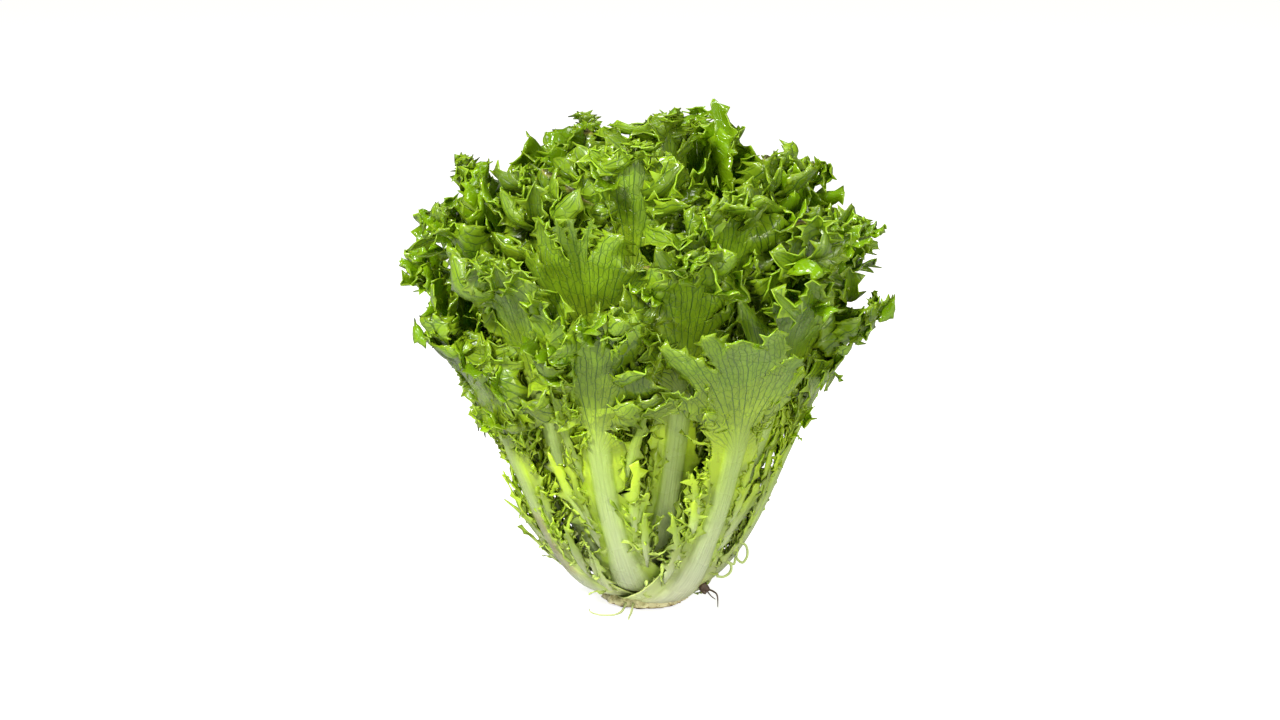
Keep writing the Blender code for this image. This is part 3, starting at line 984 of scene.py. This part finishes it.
def vein_order(tree, parts, main_width, offset, starts_at, fineness):
    """One order of veins, offset from the main ones and finer, which starts a way out from the hub."""
    within = worked_out(tree, "FRACT", worked_out(tree, "ADD", parts["X"], offset + 0.5))
    beside = worked_out(tree, "ABSOLUTE", worked_out(tree, "SUBTRACT", within, 0.5))
    reached = worked_out(tree, "MAXIMUM", parts["Y"], WIDEST_AT)
    width = worked_out(tree, "DIVIDE", main_width, product(tree, reached, fineness))
    soft = product(tree, width, MAIN_SOFTNESS)
    line = ranged(tree, beside, soft, width, interpolation_type="SMOOTHSTEP")
    return product(tree, line, ranged(tree, parts["Y"], starts_at, starts_at + VEIN_START_SPAN))


def vein_group():
    """The leaf's veins: the lines of each order, and the net of cross veins between them."""
    tree = bpy.data.node_groups.new("leaf_veins", "ShaderNodeTree")
    for name, default in (("Main Width", MAIN_WIDTH), ("Net Width", NET_WIDTH)):
        socket = tree.interface.new_socket(name=name, in_out="INPUT", socket_type="NodeSocketFloat")
        socket.default_value = default
    for name in ("Main", "Net"):
        tree.interface.new_socket(name=name, in_out="OUTPUT", socket_type="NodeSocketFloat")
    given = add_node(tree, "NodeGroupInput").outputs
    result = add_node(tree, "NodeGroupOutput")
    veins = add_node(tree, "ShaderNodeUVMap", uv_map="veins").outputs["UV"]
    wobble = {0: noise_at(tree, veins, WOBBLE_SCALE, 2.0, "Color"), 1: (0.5, 0.5, 0.5)}
    offset = add_node(tree, "ShaderNodeVectorMath", wobble, operation="SUBTRACT").outputs["Vector"]
    shifted = {0: offset, 1: VEIN_WOBBLE, 2: veins}
    bent = add_node(tree, "ShaderNodeVectorMath", shifted, operation="MULTIPLY_ADD").outputs["Vector"]
    parts = add_node(tree, "ShaderNodeSeparateXYZ", {"Vector": bent}).outputs
    orders = [vein_order(tree, parts, given["Main Width"], *order) for order in VEIN_ORDERS]
    lines = orders[0]
    for line in orders[1:]:
        lines = worked_out(tree, "MAXIMUM", lines, line)
    sideways = worked_out(tree, "ABSOLUTE", parts["X"])
    lines = product(tree, lines, ranged(tree, sideways, *LAST_VEINS))
    tree.links.new(lines, result.inputs["Main"])
    stretch = {0: bent, 1: NET_STRETCH}
    stretched = add_node(tree, "ShaderNodeVectorMath", stretch, operation="MULTIPLY").outputs["Vector"]
    meshes = {"Vector": stretched, "Scale": 1.0}
    cells = add_node(tree, "ShaderNodeTexVoronoi", meshes, feature="DISTANCE_TO_EDGE").outputs["Distance"]
    tree.links.new(ranged(tree, cells, given["Net Width"], 0.0), result.inputs["Net"])
    return tree


VEINS = vein_group()


# The leaf's skin is cream at the root and green at the tips, uneven in patches, and told by height up the
# leaf. The rib is stringy and paler, the root has brown specks, and the cut edge is yellower. The upper
# face is glossy, the under face is duller with dark veins, and the rim between them is pale.
UPPER_STOPS = (
    (0.10, (0.46, 0.51, 0.22)),
    (0.34, (0.27, 0.40, 0.03)),
    (0.52, (0.255, 0.40, 0.005)),
    (0.80, (0.100, 0.195, 0.001)),
)
UNDER_STOPS = (
    (0.10, (0.48, 0.53, 0.24)),
    (0.34, (0.28, 0.40, 0.04)),
    (0.52, (0.325, 0.45, 0.018)),
    (0.80, (0.132, 0.222, 0.006)),
)
RIM_STOPS = (
    (0.10, (0.48, 0.54, 0.18)),
    (0.34, (0.35, 0.47, 0.04)),
    (0.52, (0.34, 0.48, 0.012)),
    (0.80, (0.20, 0.33, 0.006)),
)
RIB_STOPS = (
    (0.01, (0.40, 0.37, 0.17)),
    (0.06, (0.61, 0.62, 0.43)),
    (0.20, (0.50, 0.55, 0.36)),
    (0.45, (0.35, 0.46, 0.14)),
    (0.75, (0.30, 0.43, 0.05)),
)
BROWN_STOPS = ((0.5, (0.33, 0.24, 0.08)), (0.95, (0.030, 0.022, 0.012)))
ROOT_BROWN = (0.24, 0.13, 0.05)
UPPER_VEIN = ((0.17, 0.32, 0.02), 0.25)
UNDER_VEIN = ((0.034, 0.080, 0.008), 0.9)
RIM_VEIN = ((0.3, 0.5, 0.05), 0.0)
UPPER_EDGE = ((0.27, 0.42, 0.008), 0.4)
UNDER_EDGE = ((0.30, 0.43, 0.012), 0.4)
RIM_EDGE = ((0.28, 0.44, 0.02), 0.3)
UPPER_GLOSS = (0.12, 0.25)
UNDER_GLOSS = (0.20, 0.36)
RIM_GLOSS = (0.32, 0.42)
PATCH_SCALE = 70.0
PATCH_SPAN = (0.3, 0.7)
PATCH_DRIFT = 0.06
PATCH_TONE = 0.14
PATCH_TONE_SPAN = (0.35, 0.65)
LOBE_TONE = (0.68, 1.32)
NET_STRENGTH = 0.7
VEINS_FROM = (0.52, 0.64)
EDGE_SHARPNESS = 1.5
STRAND_PITCH = (1.3, 14.0)
STRAND_SPAN = (0.3, 0.7)
STRAND_TONE = (0.82, 1.14)
SPECKS_BELOW = (0.09, 0.02)
SPECK_PATCHES = (0.56, 0.66)
SPECK_STRENGTH = 0.7
BROWN_PATCHES = (0.3, 0.6)
BROWNING = (0.6, 1.3)
GRAIN_SCALE = 420.0
GRAIN_RELIEF = 0.5
VEIN_RELIEF = -0.5
STRAND_RELIEF = 1.2
LEAF_BUMP = (0.55, 0.0006)
SKIN_LIGHT = 0.10
SKIN_RADIUS = (0.5, 1.0, 0.15)
SKIN_DEPTH = 0.0035


def colour_ramp(tree, source, stops):
    """A colour ramp with (place, colour) stops."""
    ramp = add_node(tree, "ShaderNodeValToRGB", {"Fac": source})
    elements = ramp.color_ramp.elements
    for element, (place, colour) in zip(elements, stops):
        element.position, element.color = place, (*colour, 1)
    for place, colour in stops[len(elements):]:
        elements.new(place).color = (*colour, 1)
    return ramp.outputs["Color"]


def mixed(tree, factor, first, second, blend_type="MIX"):
    inputs = {0: factor, 6: first, 7: second}
    return add_node(tree, "ShaderNodeMix", inputs, data_type="RGBA", blend_type=blend_type).outputs[2]


def attribute(tree, name):
    return add_node(tree, "ShaderNodeAttribute", attribute_name=name).outputs["Fac"]


def new_material(name):
    """A material, with its nodes and its shader."""
    material = bpy.data.materials.new(name)
    material.use_nodes = True
    return material, material.node_tree, material.node_tree.nodes["Principled BSDF"]


def add_bump(tree, shader, relief, strength, distance):
    bump = add_node(tree, "ShaderNodeBump", {"Height": relief, "Strength": strength, "Distance": distance})
    tree.links.new(bump.outputs["Normal"], shader.inputs["Normal"])


def blade_colour(tree, height, patches, lines, stops, vein, edge):
    """The thin blade's colour. vein and edge are each told as (colour, strength)."""
    grown = worked_out(tree, "ADD", height, ranged(tree, patches, *PATCH_SPAN, -PATCH_DRIFT, PATCH_DRIFT))
    lobe_tone = ranged(tree, attribute(tree, "tone"), 0, 1, *LOBE_TONE)
    patch_tone = ranged(tree, patches, *PATCH_TONE_SPAN, -PATCH_TONE, PATCH_TONE)
    shaded = worked_out(tree, "ADD", lobe_tone, patch_tone)
    blade = mixed(tree, 1.0, colour_ramp(tree, grown, stops), shaded, "MULTIPLY")
    blade = mixed(tree, product(tree, lines, vein[1]), blade, (*vein[0], 1))
    near_edge = worked_out(tree, "POWER", attribute(tree, "edge"), EDGE_SHARPNESS)
    return mixed(tree, product(tree, near_edge, edge[1]), blade, (*edge[0], 1))


def marked(tree, skin, height, patches):
    """The skin's colour with the specks of the root, the bruise and the dry tips."""
    low = ranged(tree, height, *SPECKS_BELOW)
    specks = product(tree, low, ranged(tree, patches, *SPECK_PATCHES))
    skin = mixed(tree, product(tree, specks, SPECK_STRENGTH), skin, (*ROOT_BROWN, 1))
    bruise = attribute(tree, "bruise")
    browned = product(tree, bruise, ranged(tree, patches, *BROWN_PATCHES, *BROWNING))
    within = add_node(tree, "ShaderNodeClamp", {"Value": browned}).outputs["Result"]
    return mixed(tree, within, skin, colour_ramp(tree, bruise, BROWN_STOPS))


def leaf_material(name, stops, vein, edge, gloss):
    """A leaf's skin on one of its faces. gloss is the range of its roughness."""
    material, tree, shader = new_material(name)
    here = add_node(tree, "ShaderNodeTexCoord").outputs["Object"]
    height, rib, across = (attribute(tree, key) for key in ("height", "ribness", "across"))
    patches = noise_at(tree, here, PATCH_SCALE, 3.0)
    veins = add_node(tree, "ShaderNodeGroup", node_tree=VEINS).outputs
    lines = worked_out(tree, "MAXIMUM", veins["Main"], product(tree, veins["Net"], NET_STRENGTH))
    lines = product(tree, lines, ranged(tree, height, *VEINS_FROM))
    blade = blade_colour(tree, height, patches, lines, stops, vein, edge)
    sides = {"X": product(tree, across, STRAND_PITCH[0]), "Y": product(tree, height, STRAND_PITCH[1])}
    stretched = add_node(tree, "ShaderNodeCombineXYZ", sides).outputs["Vector"]
    strands = noise_at(tree, stretched, 1.0, 4.0)
    strand_tone = ranged(tree, strands, *STRAND_SPAN, *STRAND_TONE)
    stalk = mixed(tree, 1.0, colour_ramp(tree, height, RIB_STOPS), strand_tone, "MULTIPLY")
    skin = marked(tree, mixed(tree, rib, blade, stalk), height, patches)
    tree.links.new(skin, shader.inputs["Base Color"])
    tree.links.new(ranged(tree, patches, *PATCH_SPAN, *gloss), shader.inputs["Roughness"])
    grain = product(tree, noise_at(tree, here, GRAIN_SCALE, 2.0), GRAIN_RELIEF)
    relief = worked_out(tree, "ADD", grain, product(tree, lines, VEIN_RELIEF))
    stringy = product(tree, strands, product(tree, rib, STRAND_RELIEF))
    add_bump(tree, shader, worked_out(tree, "ADD", relief, stringy), *LEAF_BUMP)
    shader.inputs["Subsurface Weight"].default_value = SKIN_LIGHT
    shader.inputs["Subsurface Radius"].default_value = SKIN_RADIUS
    shader.inputs["Subsurface Scale"].default_value = SKIN_DEPTH
    return material


upper_face = leaf_material("leaf_upper_face", UPPER_STOPS, UPPER_VEIN, UPPER_EDGE, UPPER_GLOSS)
under_face = leaf_material("leaf_under_face", UNDER_STOPS, UNDER_VEIN, UNDER_EDGE, UNDER_GLOSS)
leaf_rim = leaf_material("leaf_rim", RIM_STOPS, RIM_VEIN, RIM_EDGE, RIM_GLOSS)
for number in range(LEAF_COUNT):
    leaf = build_leaf(number, (under_face, upper_face, leaf_rim))
    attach(leaf, "root")
    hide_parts(f"leaf_{number + 1:02d}")


# The cut stem is a short woody stump. The knife left a wavy, ragged rim round its foot, brown underneath,
# and above it is a groove with the scars of the outer leaves, painted dark as painted shade under the
# petioles. Its core tapers up into the head.
STEM_FOOT_BEVEL = 0.0020
STEM_TURNS = 160
RIM_HEIGHT = 0.0048
RIM_SWELL = 0.0042
GROOVE_HEIGHT = 0.0075
GROOVE_DEPTH = 0.0008
RAGGED = 0.0026
COARSE_TEARS = 190
FINE_TEARS = 620
FINE_SHIFT = Vector((5, 0, 0))
FINE_SHARE = 0.6
RAGGED_RISE = 0.9
RAGGED_FROM_RADIUS = STEM_RADIUS * 0.5
RAGGED_UP_TO = GROOVE_HEIGHT * 1.2
STEM_OUTLINE = (
    (0.0, 0.0012),
    (STEM_RADIUS * 0.55, 0.0009),
    (STEM_RADIUS - STEM_FOOT_BEVEL, 0.0),
    (STEM_RADIUS, 0.0006),
    (STEM_RADIUS + RIM_SWELL * 0.7, RIM_HEIGHT * 0.35),
    (STEM_RADIUS + RIM_SWELL * 0.6, RIM_HEIGHT * 0.7),
    (STEM_RADIUS - GROOVE_DEPTH * 0.2, RIM_HEIGHT),
    (STEM_RADIUS - GROOVE_DEPTH, GROOVE_HEIGHT * 0.8),
    (STEM_RADIUS - GROOVE_DEPTH, GROOVE_HEIGHT),
    (STEM_RADIUS - GROOVE_DEPTH * 3, GROOVE_HEIGHT * 1.6),
    (STEM_TOP_RADIUS, STEM_HEIGHT - STEM_TOP_RADIUS),
    (STEM_TOP_RADIUS * 0.6, STEM_HEIGHT - STEM_TOP_RADIUS * 0.25),
    (0.0, STEM_HEIGHT),
)
# The bands from the cut face up: the brown underside, the cream rim, then a dark olive band at the groove
# that is painted shade under the petioles along with the leaf scars, and the pale core above.
STEM_BANDS_AND_GROOVE_SHADE = (
    (0.0, (0.045, 0.014, 0.012)),
    (0.08, (0.075, 0.028, 0.018)),
    (0.13, (0.66, 0.54, 0.30)),
    (0.20, (0.88, 0.82, 0.56)),
    (0.44, (0.86, 0.81, 0.54)),
    (0.60, (0.22, 0.20, 0.07)),
    (0.80, (0.20, 0.19, 0.05)),
    (1.0, (0.50, 0.54, 0.22)),
)
BANDS_HEIGHT = 0.010
BAND_DRIFT = 0.0012
BLOTCH_SPAN = (0.3, 0.7)
BLOTCH_SCALE = 260.0
SCAR_SCALE = 900.0
SCAR_SPAN = (0.60, 0.70)
SCAR_STRENGTH = 0.75
SCAR_BROWN = (0.33, 0.19, 0.05)
STEM_ROUGHNESS = 0.5
STEM_BUMP = (0.5, 0.0008)


def build_stem():
    """The stump's outline spun round, then pushed in and out to a ragged rim."""
    bm = bmesh.new()
    corners = [bm.verts.new((radius, 0.0, z)) for radius, z in STEM_OUTLINE]
    edges = [bm.edges.new(pair) for pair in zip(corners, corners[1:])]
    around = {"cent": (0, 0, 0), "axis": (0, 0, 1), "angle": math.tau, "steps": STEM_TURNS}
    bmesh.ops.spin(bm, geom=corners + edges, use_merge=True, **around)
    bmesh.ops.remove_doubles(bm, verts=bm.verts, dist=1e-6)
    bmesh.ops.recalc_face_normals(bm, faces=bm.faces)
    for vert in bm.verts:
        radius = math.hypot(vert.co.x, vert.co.y)
        if radius < RAGGED_FROM_RADIUS or vert.co.z > RAGGED_UP_TO:
            continue
        coarse = noise.noise(vert.co * COARSE_TEARS)
        fine = noise.noise(vert.co * FINE_TEARS + FINE_SHIFT)
        push = RAGGED * (coarse + FINE_SHARE * fine)
        vert.co.x *= 1 + push / radius
        vert.co.y *= 1 + push / radius
        vert.co.z = max(vert.co.z + push * RAGGED_RISE * min(vert.co.z / RIM_HEIGHT, 1.0), 0.0)
    stem = new_piece(bm, "cut_stem")
    stem.data.shade_smooth()
    return stem


def stem_material():
    """The stump's bands of colour from its cut face up, with a dark band of painted shade in the groove,
    blotched and specked with scars.
    """
    material, tree, shader = new_material("cut_stem")
    here = add_node(tree, "ShaderNodeTexCoord").outputs["Object"]
    level = add_node(tree, "ShaderNodeSeparateXYZ", {"Vector": here}).outputs["Z"]
    blotches = noise_at(tree, here, BLOTCH_SCALE, 3.0)
    scars = noise_at(tree, here, SCAR_SCALE, 1.0)
    uneven = worked_out(tree, "ADD", level, ranged(tree, blotches, *BLOTCH_SPAN, -BAND_DRIFT, BAND_DRIFT))
    colour = colour_ramp(tree, ranged(tree, uneven, 0.0, BANDS_HEIGHT), STEM_BANDS_AND_GROOVE_SHADE)
    scarred = product(tree, ranged(tree, scars, *SCAR_SPAN), SCAR_STRENGTH)
    colour = mixed(tree, scarred, colour, (*SCAR_BROWN, 1))
    tree.links.new(colour, shader.inputs["Base Color"])
    shader.inputs["Roughness"].default_value = STEM_ROUGHNESS
    add_bump(tree, shader, blotches, *STEM_BUMP)
    return material


stem = build_stem()
stem.data.materials.append(stem_material())
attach(stem, "root")
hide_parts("stem")


# Loose ends: pale torn leaf threads that curl on the table, thread loops beside the lower petioles, and
# a dark scrap of stalk with two rootlets that hangs under the outer leaves. Each strand is told by the
# points of its path and its radius at each, in millimetres.
STRAND_SIDES = 8
STRAND_STEPS = 8
STRAND_ROUGHNESS = 0.5
FLOOR_THREADS = (
    (((-9, -19, 4), (-11, -23.5, 1.2), (-15, -27.5, 0.6), (-21, -27.5, 0.6), (-25.5, -23.5, 0.8),
      (-26.5, -20.5, 2)), (0.6, 0.6, 0.5, 0.5, 0.4, 0.2)),
    (((-5.5, -19.5, 4), (-6.5, -24, 1), (-7.5, -31, 0.6), (-7.8, -36, 0.7)), (0.6, 0.6, 0.5, 0.3)),
)
THREAD_LOOPS = (
    (((43, -19, 34), (47.2, -19.5, 32.2), (48, -20, 27.5), (45.8, -20.2, 24), (43, -20, 26.2),
      (43.6, -19.8, 29.8)), (0.7, 0.6, 0.6, 0.6, 0.6, 0.5)),
    (((42.5, -19.5, 26.8), (41.8, -20.5, 23.5), (40, -21, 24), (38.5, -21, 25)), (0.6, 0.6, 0.6, 0.5)),
    (((37.2, -20.5, 24.8), (40.2, -21.2, 23.2), (40, -22, 20), (37, -22.6, 17.8), (33.5, -23.2, 18.2)),
     (0.6, 0.6, 0.7, 0.6, 0.6)),
)
ROOTLETS = (
    (((24.5, -23.5, 14.8), (27.2, -25, 14), (30, -25.8, 11.8)), (1.4, 2.4, 0.9)),
    (((26.2, -25, 13), (27.6, -25.8, 11.4), (28.6, -26.2, 10.6)), (1.2, 1.2, 0.6)),
    (((29, -25.5, 12.5), (31.8, -26.4, 11.8), (33.8, -27, 9.8), (34.1, -27, 4.2)), (0.5, 0.5, 0.4, 0.2)),
    (((28.8, -25.7, 12), (30.8, -26.4, 9.6), (33, -27, 8)), (0.4, 0.3, 0.2)),
)


def smooth_path(points):
    """The knots of a smooth path through the points, counted in points, and their places."""
    points = [Vector(point) / MILLIMETRES for point in points]
    knots = np.linspace(0, len(points) - 1, STRAND_STEPS * (len(points) - 1) + 1)
    path = []
    for knot in knots:
        k = min(int(knot), len(points) - 2)
        share = knot - k
        before, after = points[max(k - 1, 0)], points[min(k + 2, len(points) - 1)]
        first, second = points[k], points[k + 1]
        path.append(
            0.5 * (
                2 * first + (second - before) * share
                + (2 * before - 5 * first + 4 * second - after) * share**2
                + (3 * first - 3 * second + after - before) * share**3
            )
        )
    return knots, path


def strand(bm, points, radii):
    """A round tapered strand: a ring extruded along the path, and turned and narrowed at each step."""
    knots, path = smooth_path(points)
    widths = np.interp(knots, range(len(radii)), radii) / MILLIMETRES
    stations = []
    for k, (point, width) in enumerate(zip(path, widths)):
        ahead = (path[min(k + 1, len(path) - 1)] - path[max(k - 1, 0)]).normalized()
        turned = ahead.to_track_quat("Z", "Y")
        stations.append(Matrix.LocRotScale(point, turned, Vector((width, width, width))))
    foot = {"segments": STRAND_SIDES, "radius": 1.0, "matrix": stations[0], "cap_ends": True}
    ring = bmesh.ops.create_circle(bm, **foot)["verts"]
    edges = list({edge for vert in ring for edge in vert.link_edges})
    for before, station in zip(stations, stations[1:]):
        grown = bmesh.ops.extrude_edge_only(bm, edges=edges)["geom"]
        ring = {item for item in grown if isinstance(item, bmesh.types.BMVert)}
        edges = [item for item in grown if isinstance(item, bmesh.types.BMEdge)]
        edges = [edge for edge in edges if ring.issuperset(edge.verts)]
        bmesh.ops.transform(bm, matrix=station @ before.inverted(), verts=list(ring))
    bmesh.ops.edgeloop_fill(bm, edges=edges)


def add_strands(name, strands, colour):
    """A piece of loose strands in one colour."""
    bm = bmesh.new()
    for points, radii in strands:
        strand(bm, points, radii)
    bmesh.ops.recalc_face_normals(bm, faces=bm.faces)
    piece = new_piece(bm, name)
    piece.data.shade_smooth()
    material, _, shader = new_material(name)
    shader.inputs["Base Color"].default_value = (*colour, 1)
    shader.inputs["Roughness"].default_value = STRAND_ROUGHNESS
    piece.data.materials.append(material)
    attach(piece, "root")


add_strands("floor_threads", FLOOR_THREADS, (0.42, 0.47, 0.22))
add_strands("thread_loops", THREAD_LOOPS, (0.44, 0.54, 0.20))
add_strands("rootlets", ROOTLETS, (0.065, 0.034, 0.022))


# The floor is a wide white sheet, bright enough to look pure white to the camera, and it takes the soft
# shadow of the head.
FLOOR_HALF_SIZE = 6.0
FLOOR_GREY = (0.55, 0.55, 0.55)
FLOOR_ROUGHNESS = 0.9
FLOOR_GLOW = 0.85


def add_floor():
    bm = bmesh.new()
    bmesh.ops.create_grid(bm, x_segments=1, y_segments=1, size=FLOOR_HALF_SIZE)
    floor = new_piece(bm, "floor")
    material, tree, shader = new_material("floor_white")
    shader.inputs["Base Color"].default_value = (*FLOOR_GREY, 1)
    shader.inputs["Roughness"].default_value = FLOOR_ROUGHNESS
    shader.inputs["Emission Color"].default_value = (1, 1, 1, 1)
    seen = add_node(tree, "ShaderNodeLightPath").outputs["Is Camera Ray"]
    tree.links.new(product(tree, seen, FLOOR_GLOW), shader.inputs["Emission Strength"])
    floor.data.materials.append(material)


add_floor()


# Four soft lights stand round the head, the key at the upper left. The front one is yellowish and the world
# a yellow green, like the light that leaves throw on each other. Each is told by its place, its target, its
# size, its watts and its colour.
WHITE = (1, 1, 1)
LIGHTS = {
    "key": ((-0.9, -1.3, 1.5), (0, 0, 0.1), 0.33, 76, WHITE),
    "fill": ((1.3, -1.0, 0.9), (0, 0, 0.1), 0.6, 12, WHITE),
    "front": ((0.4, -1.8, 0.3), (0, 0, 0.06), 0.5, 14, (1.0, 1.0, 0.72)),
    "top": ((0.2, 0.6, 1.8), (0, 0, 0.1), 0.7, 12, WHITE),
}
WORLD_COLOUR = (0.92, 1.0, 0.45)
WORLD_STRENGTH = 0.11

for name, (place, target, size, watts, colour) in LIGHTS.items():
    light = bpy.data.lights.new(name, "AREA")
    light.color = colour
    light.size = size
    light.energy = watts
    lamp = bpy.data.objects.new(name, light)
    lamp.location = place
    lamp.rotation_euler = (Vector(target) - Vector(place)).to_track_quat("-Z", "Y").to_euler()
    bpy.context.collection.objects.link(lamp)
world = bpy.data.worlds.new("studio")
world.use_nodes = True
background = world.node_tree.nodes["Background"]
background.inputs["Color"].default_value = (*WORLD_COLOUR, 1)
background.inputs["Strength"].default_value = WORLD_STRENGTH
bpy.context.scene.world = world
bpy.context.scene.view_settings.view_transform = "Standard"


# The camera looks a little down at the middle of the head. Its distance makes a pixel of the frame stand
# for the size that the head was measured by.
PIXEL = 0.00047
FRAME_WIDTH = 1280
CAMERA_RISE = math.radians(12)
LENS = 100
SENSOR = 36
AIM = Vector((-0.0024, 0.0, 0.117))
SEEN_UP_TO = 50

camera_data = bpy.data.cameras.new("camera")
camera_data.lens = LENS
camera_data.sensor_width = SENSOR
camera_data.clip_end = SEEN_UP_TO
camera = bpy.data.objects.new("camera", camera_data)
distance = FRAME_WIDTH * PIXEL * LENS / SENSOR
camera.location = AIM + distance * Vector((0, -math.cos(CAMERA_RISE), math.sin(CAMERA_RISE)))
camera.rotation_euler = (math.pi / 2 - CAMERA_RISE, 0, 0)
bpy.context.collection.objects.link(camera)
bpy.context.scene.camera = camera
